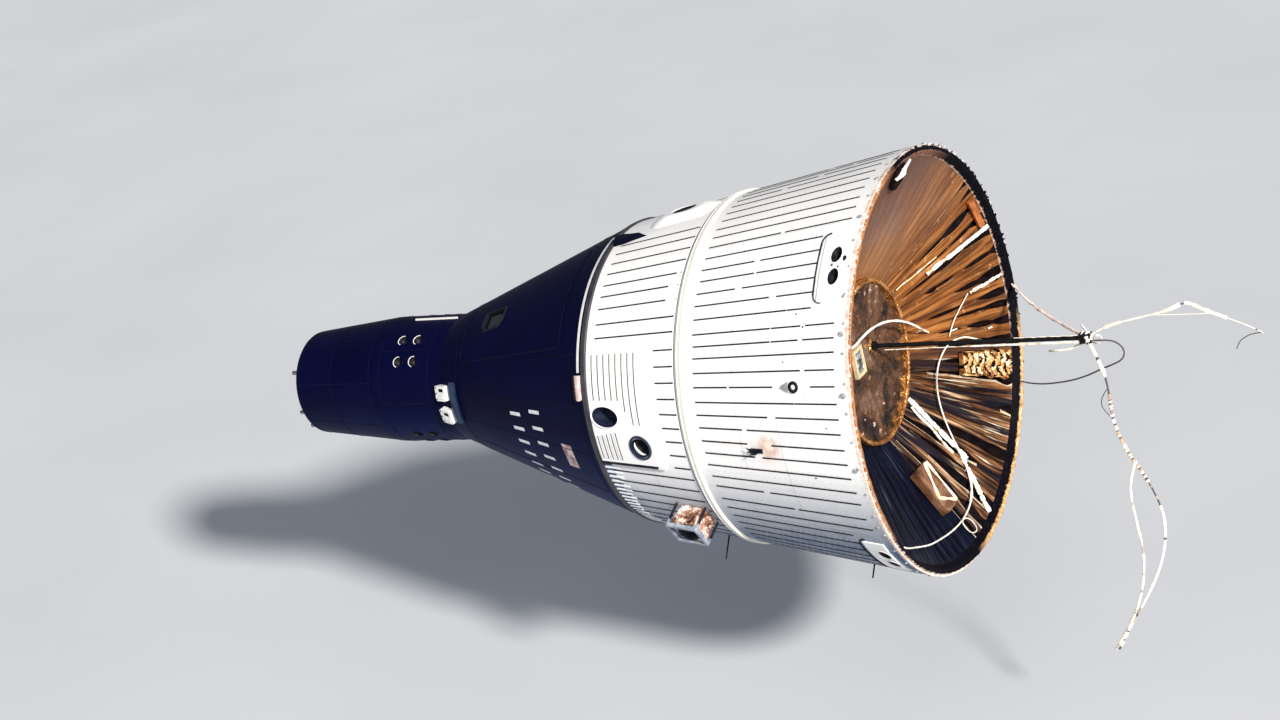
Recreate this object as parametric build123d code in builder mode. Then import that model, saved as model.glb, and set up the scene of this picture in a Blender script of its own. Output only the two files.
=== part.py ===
"""Two-seat space capsule with its aft service adapter, in orbit condition.

Row frame: origin at the centre of the base ring's aft face, +X along the roll
axis towards the nose, +Y to the crew's left, +Z up through the hatches.
A clock angle is counted about +X from +Y (0) towards +Z (90).
"""
import os
from math import atan2, cos, degrees, pi, radians, sin, sqrt, tan

from build123d import *

os.makedirs("parts", exist_ok=True)

# ---------------------------------------------------------------- dimensions
BASE_R = 1524.0            # radius of the base ring
BOLT_PCD = 3000.0          # bolt circle on the base ring
BOLT_COUNT = 20
BOLT_HOLE_R = 5.5          # clearance hole for a 10 mm bolt
ADAPTER_TOP_X = 2240.0     # where the white adapter meets the dark cabin
ADAPTER_TOP_R = 1128.0
RIDGE_X0, RIDGE_X1 = 1370.0, 1430.0
RIDGE_PROUD = 17.0
ADAPTER_SKIN = 12.0        # skin with its stringers
CABIN_R0 = 1140.0          # cabin radius at its aft end
CABIN_X1 = 3940.0          # forward end of the cabin cone
CABIN_R1 = 491.0
CABIN_WALL = 70.0
HATCH_X0, HATCH_X1 = 2500.0, 3720.0
HATCH_CLOCK = 30.0         # clock angle of the hinge line
HATCH_TOP = 84.0           # clock angle of the free edge at its forward end
SPINE_HALF = 62.0          # half width of the fixed beam between the hatches
GAP = 6.0
WINDOW_X, WINDOW_CLOCK = 3370.0, 60.0
RCS_X1 = 4560.0            # forward end of the attitude control section
NOSE_X1 = 5350.0           # start of the rounded nose
NOSE_R1 = 405.0
NOSE_TIP_X = 5405.0
CURTAIN_X0, CURTAIN_R0 = 40.0, 1440.0
CURTAIN_X1, CURTAIN_R1 = 556.0, 600.0
BOOM_Y, BOOM_Z = -46.0, 108.0
BOOM_TIP_X = -1040.0

AD_SLOPE = (BASE_R - ADAPTER_TOP_R) / ADAPTER_TOP_X
AD_ANG = degrees(atan2(BASE_R - ADAPTER_TOP_R, ADAPTER_TOP_X))
CB_SLOPE = (CABIN_R0 - CABIN_R1) / (CABIN_X1 - ADAPTER_TOP_X)
CB_ANG = degrees(atan2(CABIN_R0 - CABIN_R1, CABIN_X1 - ADAPTER_TOP_X))


def ad_r(x):
    """Outer radius of the adapter at station x."""
    return BASE_R - AD_SLOPE * x


def cb_r(x):
    """Outer radius of the cabin at station x."""
    return CABIN_R0 - CB_SLOPE * (x - ADAPTER_TOP_X)


def nose_r(x):
    """Outer radius of the recovery section at station x."""
    return CABIN_R1 + (NOSE_R1 - CABIN_R1) * (x - RCS_X1) / (NOSE_X1 - RCS_X1)


def clock_plane(c):
    """Plane through the roll axis: local x is +X, local y is radial at clock c."""
    a = radians(c)
    return Plane(origin=(0, 0, 0), x_dir=(1, 0, 0), z_dir=(0, -sin(a), cos(a)))


def out_dir(c, slope_deg=0.0):
    """Outward normal of a cone of half angle slope_deg at clock c."""
    a, s = radians(c), radians(slope_deg)
    return Vector(sin(s), cos(s) * cos(a), cos(s) * sin(a))


def on_skin(x, c, r, lift=0.0, slope_deg=0.0):
    """Plane on a cone: z outward, local x towards the nose."""
    a, s = radians(c), radians(slope_deg)
    n = out_dir(c, slope_deg)
    p = Vector(x, r * cos(a), r * sin(a)) + n * lift
    xd = Vector(cos(s), -sin(s) * cos(a), -sin(s) * sin(a))
    return Plane(origin=(p.X, p.Y, p.Z), x_dir=(xd.X, xd.Y, xd.Z), z_dir=(n.X, n.Y, n.Z))


def save(part, name):
    part.label = name
    export_step(part, "parts/" + name + ".step")


def tube(points, dia, name):
    """A cord's tube: straight runs joined by tangent arcs."""
    pts = [Vector(*p) for p in points]
    radii, turns, length = [], [], 0.0
    for a, b, c in zip(pts[:-2], pts[1:-1], pts[2:]):
        u, v = b - a, c - b
        turn = u.get_angle(v)
        turns.append(turn)
        radii.append(0.45 * min(u.length, v.length) / tan(radians(turn / 2)))
    with BuildPart() as cord:
        with BuildLine() as route:
            FilletPolyline(*pts, radius=radii)
        wire = route.wires()[0]
        length = wire.length
        start = pts[0]
        d = (pts[1] - pts[0]).normalized()
        with BuildSketch(Plane(origin=(start.X, start.Y, start.Z), z_dir=(d.X, d.Y, d.Z))):
            Circle(dia / 2)
        sweep(path=wire)
    want = pi * (dia / 2) ** 2 * length
    print(f"{name}: dia {dia}, length {length:.0f}, least radius {min(radii):.0f}, "
          f"turns {min(turns):.1f} to {max(turns):.1f}, volume ratio {cord.part.volume / want:.4f}")
    save(cord.part, name)
    return cord.part


# ---------------------------------------------------------------- base ring
with BuildPart() as aft_ring:
    with BuildSketch(Plane.XZ):
        with BuildLine():
            Polyline((0, 1476), (0, BASE_R), (62, ad_r(62)), (62, ad_r(62) - 18),
                     (12, ad_r(12) - 18), (12, 1476), close=True)
        make_face()
    revolve(axis=Axis.X)
    with BuildSketch(Plane.YZ):
        with PolarLocations(BOLT_PCD / 2, BOLT_COUNT, start_angle=9):
            Circle(BOLT_HOLE_R)
    extrude(amount=12, mode=Mode.SUBTRACT)
save(aft_ring.part, "aft_ring")

# ---------------------------------------------------------------- adapter skins
# openings cut for the nozzles: (x, clock, along, across)
SIDE_HOLES = ((2090.0, 7.3, 122.0, 79.0), (1826.0, -3.2, 80.0, 76.0))
TOP_HOLE = (1745.0, 90.0, 105.0, 66.0)
ATT_CLOCKS = (51.8, 45.6)
ATT_X = 148.0
ATT_R = 46.0               # half width along the body
ATT_B = 60.0               # half width round the body
QUADS = (0.0, 90.0, 180.0, 270.0)

with BuildPart() as equipment_skin:
    with BuildSketch(Plane.XZ):
        with BuildLine():
            Polyline((62, ad_r(62)), (RIDGE_X0, ad_r(RIDGE_X0)),
                     (RIDGE_X0, ad_r(RIDGE_X0) - ADAPTER_SKIN), (62, ad_r(62) - ADAPTER_SKIN), close=True)
        make_face()
    revolve(axis=Axis.X)
    for q in QUADS:
        for c in ATT_CLOCKS:
            with BuildSketch(on_skin(ATT_X, c + q, ad_r(ATT_X), 40, AD_ANG)):
                Ellipse(ATT_R + 4, ATT_B + 4)
            extrude(amount=-90, mode=Mode.SUBTRACT)
save(equipment_skin.part, "equipment_section_skin")

with BuildPart() as separation_ridge:
    with BuildSketch(Plane.XZ):
        with BuildLine():
            Polyline((RIDGE_X0, ad_r(RIDGE_X0) - 30), (RIDGE_X0, ad_r(RIDGE_X0) + 2),
                     (RIDGE_X0 + 12, ad_r(RIDGE_X0) + RIDGE_PROUD),
                     (RIDGE_X1 - 12, ad_r(RIDGE_X1) + RIDGE_PROUD),
                     (RIDGE_X1, ad_r(RIDGE_X1) + 2), (RIDGE_X1, ad_r(RIDGE_X1) - 30), close=True)
        make_face()
    revolve(axis=Axis.X)
save(separation_ridge.part, "separation_ridge")

with BuildPart() as retro_skin:
    with BuildSketch(Plane.XZ):
        with BuildLine():
            Polyline((RIDGE_X1, ad_r(RIDGE_X1)), (ADAPTER_TOP_X, ad_r(ADAPTER_TOP_X)),
                     (ADAPTER_TOP_X, ad_r(ADAPTER_TOP_X) - ADAPTER_SKIN),
                     (RIDGE_X1, ad_r(RIDGE_X1) - ADAPTER_SKIN), close=True)
        make_face()
    revolve(axis=Axis.X)
    for side in (0, 180):
        for x, c, a, b in SIDE_HOLES:
            cc = c if side == 0 else 180 - c
            with BuildSketch(on_skin(x, cc, ad_r(x), 60, AD_ANG)):
                Ellipse(a + 4, b + 4)
            extrude(amount=-120, mode=Mode.SUBTRACT)
    for cc in (90, 270):
        with BuildSketch(on_skin(TOP_HOLE[0], cc, ad_r(TOP_HOLE[0]), 80, AD_ANG)):
            Ellipse(TOP_HOLE[2] + 4, TOP_HOLE[3] + 4)
        extrude(amount=-140, mode=Mode.SUBTRACT)
save(retro_skin.part, "retro_section_skin")


# ---------------------------------------------------------------- thruster fairings
def fairing(name, x0, x1, c0, c1, proud, holes):
    """Raised panel on the adapter skin, tapered down at its aft end."""
    with BuildPart() as f:
        with BuildSketch(clock_plane(c0)):
            with BuildLine():
                Polyline((x0, ad_r(x0) + 0.5), (x0 + 60, ad_r(x0 + 60) + proud),
                         (x1 - 16, ad_r(x1 - 16) + proud), (x1, ad_r(x1) + proud - 14),
                         (x1, ad_r(x1) + 0.5), close=True)
            make_face()
        revolve(axis=Axis.X, revolution_arc=c1 - c0)
        for x, c, a, b in holes:
            with BuildSketch(on_skin(x, c, ad_r(x), 90, AD_ANG)):
                Ellipse(a, b)
            extrude(amount=-150, mode=Mode.SUBTRACT)
    if name:
        save(f.part, name)
    return f.part


def cup(x, c, r_skin, a, b, depth, lip=0.0, slope=AD_ANG, wall=4.0):
    """Oval nozzle cup let into the skin, closed at its inner end."""
    pl = on_skin(x, c, r_skin, lip, slope)
    inner = Plane(origin=tuple(pl.origin - pl.z_dir * (depth - 12)), x_dir=tuple(pl.x_dir), z_dir=tuple(pl.z_dir))
    outer = Plane(origin=tuple(pl.origin - pl.z_dir * depth), x_dir=tuple(pl.x_dir), z_dir=tuple(pl.z_dir))
    with BuildPart() as k:
        with BuildSketch(outer):
            Ellipse(a * 0.55, b * 0.55)
        with BuildSketch(pl):
            Ellipse(a, b)
        loft(ruled=True)
        with BuildSketch(inner):
            Ellipse(a * 0.55 - wall, b * 0.55 - wall)
        with BuildSketch(pl.offset(0.5)):
            Ellipse(a - wall, b - wall)
        loft(ruled=True, mode=Mode.SUBTRACT)
    return k.part


def group(parts, name):
    """Several like pieces, apart from each other, in one node."""
    with BuildPart() as g:
        for p in parts:
            add(p)
    save(g.part, name)
    return g.part


FAIR_PROUD = 28.0
left_holes = [(x, c, a, b) for x, c, a, b in SIDE_HOLES]
right_holes = [(x, 180 - c, a, b) for x, c, a, b in SIDE_HOLES]
fairing("thruster_fairing_left", 1650, 2236, -10, 30, FAIR_PROUD, left_holes)
fairing("thruster_fairing_right", 1650, 2236, 150, 190, FAIR_PROUD, right_holes)


def bulge(c):
    """Low rounded hump over a vertical thruster, with sloping sides."""
    pl = on_skin(TOP_HOLE[0], c, ad_r(TOP_HOLE[0]), -16, AD_ANG)
    with BuildPart() as k:
        with BuildSketch(pl):
            RectangleRounded(600, 330, 120)
        with BuildSketch(pl.offset(34)):
            RectangleRounded(470, 250, 100)
        with BuildSketch(pl.offset(56)):
            RectangleRounded(330, 176, 80)
        loft()
        with BuildSketch(Plane.XZ):
            with BuildLine():
                Polyline((1400, 0), (1400, ad_r(1400) + 0.5), (2100, ad_r(2100) + 0.5), (2100, 0), close=True)
            make_face()
        revolve(axis=Axis.X, mode=Mode.SUBTRACT)
        with BuildSketch(on_skin(TOP_HOLE[0], c, ad_r(TOP_HOLE[0]), 90, AD_ANG)):
            Ellipse(TOP_HOLE[2], TOP_HOLE[3])
        extrude(amount=-150, mode=Mode.SUBTRACT)
    return k.part


group([bulge(90), bulge(270)], "thruster_fairings_top_bottom")
group([cup(x, c, ad_r(x), a - 2, b - 2, 95, FAIR_PROUD - 4) for x, c, a, b in left_holes + right_holes]
      + [cup(TOP_HOLE[0], c, ad_r(TOP_HOLE[0]), TOP_HOLE[2] - 2, TOP_HOLE[3] - 2, 130, 34) for c in (90, 270)],
      "adapter_thruster_nozzles")

# rounded panels round the aft attitude thrusters, four pairs
att_panels, att_cups = [], []
for q in QUADS:
    with BuildPart() as p:
        with BuildSketch(clock_plane(39 + q)):
            with BuildLine():
                Polyline((92, ad_r(92) + 0.5), (100, ad_r(100) + 9), (262, ad_r(262) + 9),
                         (272, ad_r(272) + 0.5), close=True)
            make_face()
        revolve(axis=Axis.X, revolution_arc=19)
        for c in ATT_CLOCKS:
            with BuildSketch(on_skin(ATT_X, c + q, ad_r(ATT_X), 60, AD_ANG)):
                Ellipse(ATT_R, ATT_B)
            extrude(amount=-120, mode=Mode.SUBTRACT)
    att_panels.append(p.part)
    att_cups += [cup(ATT_X, c + q, ad_r(ATT_X), ATT_R - 1, ATT_B - 1, 60, 6) for c in ATT_CLOCKS]
group(att_panels, "attitude_thruster_panels")
group(att_cups, "attitude_thruster_nozzles")


# foil-wrapped lower thrusters: bell, wrapped body and square guard frame
LOWER_X, LOWER_CLOCKS = 1620.0, (-33.0, 213.0)


def lower_thruster(c):
    pl = on_skin(LOWER_X, c, ad_r(LOWER_X), 2, AD_ANG)
    with BuildPart() as t:
        with BuildSketch(pl):
            RectangleRounded(214, 174, 40)
        with BuildSketch(pl.offset(146)):
            RectangleRounded(196, 156, 46)
        loft()
        with BuildSketch(pl.offset(146)):
            Circle(60)
        with BuildSketch(pl.offset(184)):
            Circle(72)
        loft()
        with BuildSketch(pl.offset(150)):
            Circle(50)
        with BuildSketch(pl.offset(184.5)):
            Circle(67)
        loft(mode=Mode.SUBTRACT)
        with BuildSketch(Plane.XZ):
            with BuildLine():
                Polyline((1400, 0), (1400, ad_r(1400) + 0.5), (2100, ad_r(2100) + 0.5), (2100, 0), close=True)
            make_face()
        revolve(axis=Axis.X, mode=Mode.SUBTRACT)
    return t.part


def guard(c):
    pl = on_skin(LOWER_X, c, ad_r(LOWER_X), 0.5, AD_ANG)
    with BuildPart() as g:
        for sx, sy in ((1, 1), (1, -1), (-1, 1), (-1, -1)):
            with BuildSketch(pl):
                with Locations((sx * 124, sy * 104)):
                    Rectangle(14, 14)
            extrude(amount=170)
        with BuildSketch(pl.offset(164)):
            RectangleRounded(266, 226, 14)
            RectangleRounded(222, 182, 10, mode=Mode.SUBTRACT)
        extrude(amount=28)
    return g.part


group([lower_thruster(c) for c in LOWER_CLOCKS], "foil_wrapped_thrusters")
group([guard(c) for c in LOWER_CLOCKS], "thruster_guard_frames")

# ---------------------------------------------------------------- small adapter fittings
with BuildPart() as umbilical_block:
    with BuildSketch(clock_plane(13)):
        with BuildLine():
            Polyline((2296, cb_r(2296) + 0.5), (2296, cb_r(2296) + 46), (2330, cb_r(2330) + 44),
                     (2382, cb_r(2382) + 0.5), close=True)
        make_face()
    revolve(axis=Axis.X, revolution_arc=9)
save(umbilical_block.part, "umbilical_block")

with BuildPart() as umbilical_fairing:
    pu = on_skin(2110, 78.5, ad_r(2110), -4, AD_ANG)
    with BuildSketch(pu):
        with BuildLine():
            Polyline((-150, 0), (-20, 30), (40, 48), (126, 50), (126, -46), (40, -46), (-20, -26), close=True)
        make_face()
    with BuildSketch(pu.offset(44)):
        with BuildLine():
            Polyline((-96, 0), (-12, 18), (44, 34), (126, 38), (126, -36), (44, -34), (-12, -16), close=True)
        make_face()
    loft(ruled=True)
    with BuildSketch(Plane.XZ):
        with BuildLine():
            Polyline((1900, 0), (1900, ad_r(1900) + 0.5), (2300, ad_r(2300) + 0.5), (2300, 0), close=True)
        make_face()
    revolve(axis=Axis.X, mode=Mode.SUBTRACT)
save(umbilical_fairing.part, "umbilical_fairing_top")

with BuildPart() as teardrop:
    with BuildSketch(on_skin(441, 17.3, ad_r(441), 0.5, AD_ANG)):
        with BuildLine():
            Polyline((124, 4), (60, 26), (18, 42), (-16, 44), (-40, 26), (-47, 0), (-40, -26), (-16, -44),
                     (18, -42), (60, -26), close=True)
        make_face()
    extrude(amount=10)
    with BuildSketch(on_skin(441, 17.3, ad_r(441), 11, AD_ANG)):
        Circle(26)
    extrude(amount=-8, mode=Mode.SUBTRACT)
save(teardrop.part, "teardrop_port")

with BuildPart() as bracket:
    with BuildSketch(on_skin(830, -1.4, ad_r(830), 0.5, AD_ANG)):
        Rectangle(96, 30)
    extrude(amount=10)
    with BuildSketch(on_skin(846, -1.9, ad_r(846), 9, AD_ANG)):
        Rectangle(44, 16)
    extrude(amount=22)
save(bracket.part, "side_bracket")

antennas = []
for x, c, length in ((1725, -66, 185), (555, -66, 105)):
    with BuildPart() as a:
        with BuildSketch(on_skin(x, c, ad_r(x), 0.5, AD_ANG)):
            Circle(16)
        extrude(amount=12)
        with BuildSketch(on_skin(x, c, ad_r(x), 12.5, AD_ANG)):
            Circle(6.5)
        extrude(amount=length, taper=0.6)
    antennas.append(a.part)
group(antennas, "whip_antennas")

# ---------------------------------------------------------------- inside the base
with BuildPart() as curtain:
    with BuildSketch(Plane.XZ):
        with BuildLine():
            Polyline((CURTAIN_X0, ad_r(64) - 18.5), (CURTAIN_X0, CURTAIN_R0), (CURTAIN_X1, CURTAIN_R1),
                     (CURTAIN_X1 + 14, CURTAIN_R1 + 10), (CURTAIN_X0 + 24, CURTAIN_R0 + 36),
                     (CURTAIN_X0 + 24, ad_r(64) - 18.5), close=True)
        make_face()
    revolve(axis=Axis.X)
save(curtain.part, "thermal_curtain")

with BuildPart() as disc:
    with BuildSketch(Plane.XZ):
        with BuildLine():
            Polyline((CURTAIN_X1 - 34, CURTAIN_R1 - 30), (CURTAIN_X1 - 34, CURTAIN_R1 - 1),
                     (CURTAIN_X1 + 14, CURTAIN_R1 - 1), (CURTAIN_X1 + 14, 0), (CURTAIN_X1, 0),
                     (CURTAIN_X1, CURTAIN_R1 - 30), close=True)
        make_face()
    revolve(axis=Axis.X)
save(disc.part, "curtain_disc")

with BuildPart() as fixture:
    with BuildSketch(Plane.YZ.offset(CURTAIN_X1 - 30)):
        with Locations((190, 88)):
            Rectangle(150, 210)
            Rectangle(104, 160, mode=Mode.SUBTRACT)
    extrude(amount=29.5)
    with BuildSketch(Plane.YZ.offset(CURTAIN_X1 - 22)):
        with Locations((190, 88)):
            Rectangle(104, 160)
    extrude(amount=21.5)


def curtain_plane(x, c, lift=0.0):
    """Plane on the inside of the curtain cone, z towards the open base."""
    r = CURTAIN_R0 + (CURTAIN_R1 - CURTAIN_R0) * (x - CURTAIN_X0) / (CURTAIN_X1 - CURTAIN_X0)
    a = radians(c)
    s = atan2(CURTAIN_R0 - CURTAIN_R1, CURTAIN_X1 - CURTAIN_X0)
    n = Vector(-sin(s), -cos(s) * cos(a), -cos(s) * sin(a))
    xd = Vector(cos(s), -sin(s) * cos(a), -sin(s) * sin(a))
    p = Vector(x, r * cos(a), r * sin(a)) + n * lift
    return Plane(origin=tuple(p), x_dir=tuple(xd), z_dir=tuple(n))


boxes = []
for x, c, w, h, t in ((293, -89.5, 380, 190, 60), (75, 152, 50, 270, 30), (255, -155, 120, 180, 30),
                      (125, -155, 110, 200, 30), (88, 93.5, 130, 120, 20)):
    with BuildPart() as b:
        with BuildSketch(curtain_plane(x, c, 10)):
            RectangleRounded(w, h, 12)
        extrude(amount=t)
    boxes.append(b.part)
group(boxes + [fixture.part], "curtain_boxes")

straps = []
for a, b, w in (((0.50, -129.5), (0.215, -117), 15), ((0.205, -114.5), (0.045, -104.5), 17),
                ((0.372, 158), (0.045, 159.5), 17), ((0.50, 150.5), (0.31, 154), 12),
                ((0.211, 177.8), (0.05, 176.8), 13)):
    pa = curtain_plane(a[0] * 1000, a[1], 14).origin
    pb = curtain_plane(b[0] * 1000, b[1], 14).origin
    d = (pb - pa)
    mid = (pa + pb) * 0.5
    n = curtain_plane((a[0] + b[0]) * 500, (a[1] + b[1]) / 2).z_dir
    n = (n - d.normalized() * n.dot(d.normalized())).normalized()
    mid = mid - n * 0.0
    with BuildPart() as s:
        with BuildSketch(Plane(origin=tuple(mid), x_dir=tuple(d.normalized()), z_dir=tuple(n))):
            Rectangle(d.length, w)
        extrude(amount=3)
    straps.append(s.part)

# heavy masses carried inside, as plain blocks
with BuildPart() as deck:
    with BuildSketch(Plane.YZ.offset(700)):
        Circle(ad_r(700) - ADAPTER_SKIN - 0.5)
    extrude(amount=30, taper=AD_ANG)

with BuildPart() as tanks:
    add(deck.part)
    with BuildSketch(Plane.YZ.offset(729)):
        Rectangle(1300, 1000)
    extrude(amount=520)
save(tanks.part, "equipment_block")

with BuildPart() as retro:
    with BuildSketch(Plane.YZ.offset(1500)):
        Circle(ad_r(1500) - ADAPTER_SKIN - 0.5)
    extrude(amount=30, taper=AD_ANG)
    with BuildSketch(Plane.YZ.offset(1530)):
        with GridLocations(640, 640, 2, 2):
            Circle(160)
    extrude(amount=420)
save(retro.part, "retro_motor_block")

# ---------------------------------------------------------------- boom
with BuildPart() as boom:
    with BuildSketch(Plane.YZ.offset(BOOM_TIP_X)):
        with Locations((BOOM_Y, BOOM_Z)):
            Circle(16)
    extrude(amount=CURTAIN_X1 - 0.5 - BOOM_TIP_X)
    with BuildSketch(Plane.YZ.offset(CURTAIN_X1 - 60)):
        with Locations((BOOM_Y, BOOM_Z)):
            Circle(34)
    extrude(amount=59.5)
    with BuildSketch(Plane.YZ.offset(-300)):
        with Locations((BOOM_Y, BOOM_Z)):
            Circle(20)
    extrude(amount=60)
save(boom.part, "aft_boom")

CLAMP_X0, CLAMP_X1 = -1122.0, BOOM_TIP_X - 0.5
with BuildPart() as clamp:
    with BuildSketch(Plane.YZ.offset(CLAMP_X0)):
        with Locations((BOOM_Y, BOOM_Z)):
            RectangleRounded(66, 70, 10)
    extrude(amount=CLAMP_X1 - CLAMP_X0)
    with BuildSketch(Plane.XZ.offset(-BOOM_Y - 60)):
        with Locations(((CLAMP_X0 + CLAMP_X1) / 2, BOOM_Z)):
            Circle(14)
    extrude(amount=120)
save(clamp.part, "boom_tip_clamp")

# taut white tape beside the boom
with BuildPart() as side_tape:
    with BuildSketch(Plane.XY.offset(BOOM_Z - 24)):
        with BuildLine():
            Polyline((CLAMP_X1 + 0.5, BOOM_Y + 31), (-700, BOOM_Y + 48), (-240, BOOM_Y + 25),
                     (-240, BOOM_Y + 21), (-700, BOOM_Y + 44), (CLAMP_X1 + 0.5, BOOM_Y + 27), close=True)
        make_face()
    extrude(amount=15)
group(straps + [side_tape.part], "taut_tapes")

# ---------------------------------------------------------------- joint band and heat shield
with BuildPart() as joint_band:
    with BuildSketch(Plane.XZ):
        with BuildLine():
            Polyline((ADAPTER_TOP_X, ADAPTER_TOP_R - 60), (ADAPTER_TOP_X, ADAPTER_TOP_R + 8),
                     (ADAPTER_TOP_X + 8, CABIN_R0 + 2), (2286, cb_r(2286) + 8), (2290, cb_r(2290) + 1),
                     (2290, cb_r(2290) - 70), (2262, cb_r(2262) - 70), close=True)
        make_face()
    revolve(axis=Axis.X)
save(joint_band.part, "joint_band")

with BuildPart() as shield:
    with BuildSketch(Plane.XZ):
        with BuildLine():
            Polyline((2262.5, 0), (2262.5, 1050), (2239, 1054), (2180, 700), (2150, 350), (2142, 0), close=True)
        make_face()
    revolve(axis=Axis.X)
save(shield.part, "heat_shield")


# ---------------------------------------------------------------- cabin shell
def wall_profile(x0, x1, square_ends=False, wall=CABIN_WALL, sink=0.0):
    """Section of the cone wall between two outer stations; ends square to the skin."""
    t = wall
    dx, dr = t * sin(radians(CB_ANG)), t * cos(radians(CB_ANG))
    sx, sr = sink * sin(radians(CB_ANG)), sink * cos(radians(CB_ANG))
    if square_ends:
        return [(x0, cb_r(x0)), (x1, cb_r(x1)), (x1, cb_r(x1) - t / cos(radians(CB_ANG))),
                (x0, cb_r(x0) - t / cos(radians(CB_ANG)))]
    return [(x0 - sx, cb_r(x0) - sr), (x1 - sx, cb_r(x1) - sr), (x1 - dx, cb_r(x1) - dr), (x0 - dx, cb_r(x0) - dr)]


def panel(profile, c0, c1):
    with BuildPart() as p:
        with BuildSketch(clock_plane(c0)):
            with BuildLine():
                Polyline(*profile, close=True)
            make_face()
        revolve(axis=Axis.X, revolution_arc=c1 - c0)
    return p.part


dxw = CABIN_WALL * sin(radians(CB_ANG))
drw = CABIN_WALL * cos(radians(CB_ANG))

# aft frame of the cabin: full ring with a slanted forward edge square to the skin
with BuildPart() as shell_aft:
    with BuildSketch(Plane.XZ):
        with BuildLine():
            Polyline((2290.5, cb_r(2290.5)), (HATCH_X0, cb_r(HATCH_X0)), (HATCH_X0 - dxw, cb_r(HATCH_X0) - drw),
                     (2290.5, cb_r(2290.5) - CABIN_WALL / cos(radians(CB_ANG))), close=True)
        make_face()
    revolve(axis=Axis.X)
save(shell_aft.part, "cabin_shell_aft")

with BuildPart() as shell_forward:
    with BuildSketch(Plane.XZ):
        with BuildLine():
            Polyline((HATCH_X1, cb_r(HATCH_X1)), (CABIN_X1, CABIN_R1),
                     (CABIN_X1, CABIN_R1 - CABIN_WALL / cos(radians(CB_ANG))),
                     (HATCH_X1 - dxw, cb_r(HATCH_X1) - drw), close=True)
        make_face()
    revolve(axis=Axis.X)
save(shell_forward.part, "cabin_shell_forward")

full = wall_profile(HATCH_X0, HATCH_X1)
save(panel(full, 180 - HATCH_CLOCK, 270), "cabin_panel_right")
save(panel(full, 270, 360 + HATCH_CLOCK), "cabin_panel_left")

# fixed beam between the two hatches
with BuildPart() as spine:
    with BuildSketch(clock_plane(78)):
        with BuildLine():
            Polyline(*full, close=True)
        make_face()
    revolve(axis=Axis.X, revolution_arc=24)
    with BuildSketch(Plane.XY.offset(300)):
        with Locations((3100, 0)):
            Rectangle(1500, 2 * SPINE_HALF)
    extrude(amount=900, mode=Mode.INTERSECT)
save(spine.part, "cabin_spine")

# ---------------------------------------------------------------- hatches
hatch_profile = wall_profile(HATCH_X0 + GAP, HATCH_X1 - GAP)


def window_outline(grow=0.0):
    with BuildLine() as ln:
        g = grow
        Polyline((-112 - g, -66 - g), (112 + g, -78 - g), (112 + g, 30 + 0.4 * g), (70 + 0.6 * g, 84 + g),
                 (-70 - 0.6 * g, 84 + g), (-112 - g, 36 + 0.4 * g), close=True)
    return ln


def hatch(name, right=False):
    gap_deg = degrees(GAP / cb_r(HATCH_X1))
    c0 = HATCH_CLOCK + 0.35
    with BuildPart() as h:
        if right:
            with BuildSketch(clock_plane(92)):
                with BuildLine():
                    Polyline(*hatch_profile, close=True)
                make_face()
            revolve(axis=Axis.X, revolution_arc=180 - c0 - 92)
        else:
            with BuildSketch(clock_plane(c0)):
                with BuildLine():
                    Polyline(*hatch_profile, close=True)
                make_face()
            revolve(axis=Axis.X, revolution_arc=88 - c0)
        side = -1 if right else 1
        with BuildSketch(Plane.XY.offset(150)):
            with Locations((3100, side * (SPINE_HALF + GAP + 600))):
                Rectangle(1500, 1200)
        extrude(amount=1100, mode=Mode.INTERSECT)
        wc = 180 - WINDOW_CLOCK if right else WINDOW_CLOCK
        pl = on_skin(WINDOW_X, wc, cb_r(WINDOW_X), 30, CB_ANG)
        flip = -1 if right else 1
        with BuildSketch(pl):
            with BuildLine():
                Polyline((-112, flip * -66), (112, flip * -78), (112, flip * 30), (70, flip * 84),
                         (-70, flip * 84), (-112, flip * 36), close=True)
            make_face()
        extrude(amount=-160, mode=Mode.SUBTRACT)
    save(h.part, name)
    with BuildPart() as glass:
        pg = on_skin(WINDOW_X, wc, cb_r(WINDOW_X), -34, CB_ANG)
        with BuildSketch(pg):
            with BuildLine():
                Polyline((-111.8, flip * -65.8), (111.8, flip * -77.8), (111.8, flip * 29.9), (69.9, flip * 83.8),
                         (-69.9, flip * 83.8), (-111.8, flip * 35.9), close=True)
            make_face()
        extrude(amount=14)
    save(glass.part, "window_glass_right" if right else "window_glass_left")
    return h.part


hatch_left = hatch("hatch_left")
hatch_right = hatch("hatch_right", right=True)

a0 = radians(HATCH_CLOCK)
s0 = radians(CB_ANG)
print("left hinge point", (HATCH_X0, cb_r(HATCH_X0) * cos(a0), cb_r(HATCH_X0) * sin(a0)),
      "axis", (cos(s0), -sin(s0) * cos(a0), -sin(s0) * sin(a0)))

# ---------------------------------------------------------------- inside the cabin
IN_R = CABIN_WALL / cos(radians(CB_ANG))


def inner_r(x):
    return cb_r(x) - IN_R


with BuildPart() as aft_bulkhead:
    with BuildSketch(Plane.YZ.offset(2400)):
        Circle(inner_r(2400) - 1)
    extrude(amount=24, taper=CB_ANG)
save(aft_bulkhead.part, "cabin_aft_bulkhead")

with BuildPart() as fwd_bulkhead:
    with BuildSketch(Plane.YZ.offset(3860)):
        Circle(inner_r(3860) - 1)
    extrude(amount=20, taper=CB_ANG)
save(fwd_bulkhead.part, "cabin_forward_bulkhead")

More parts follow.
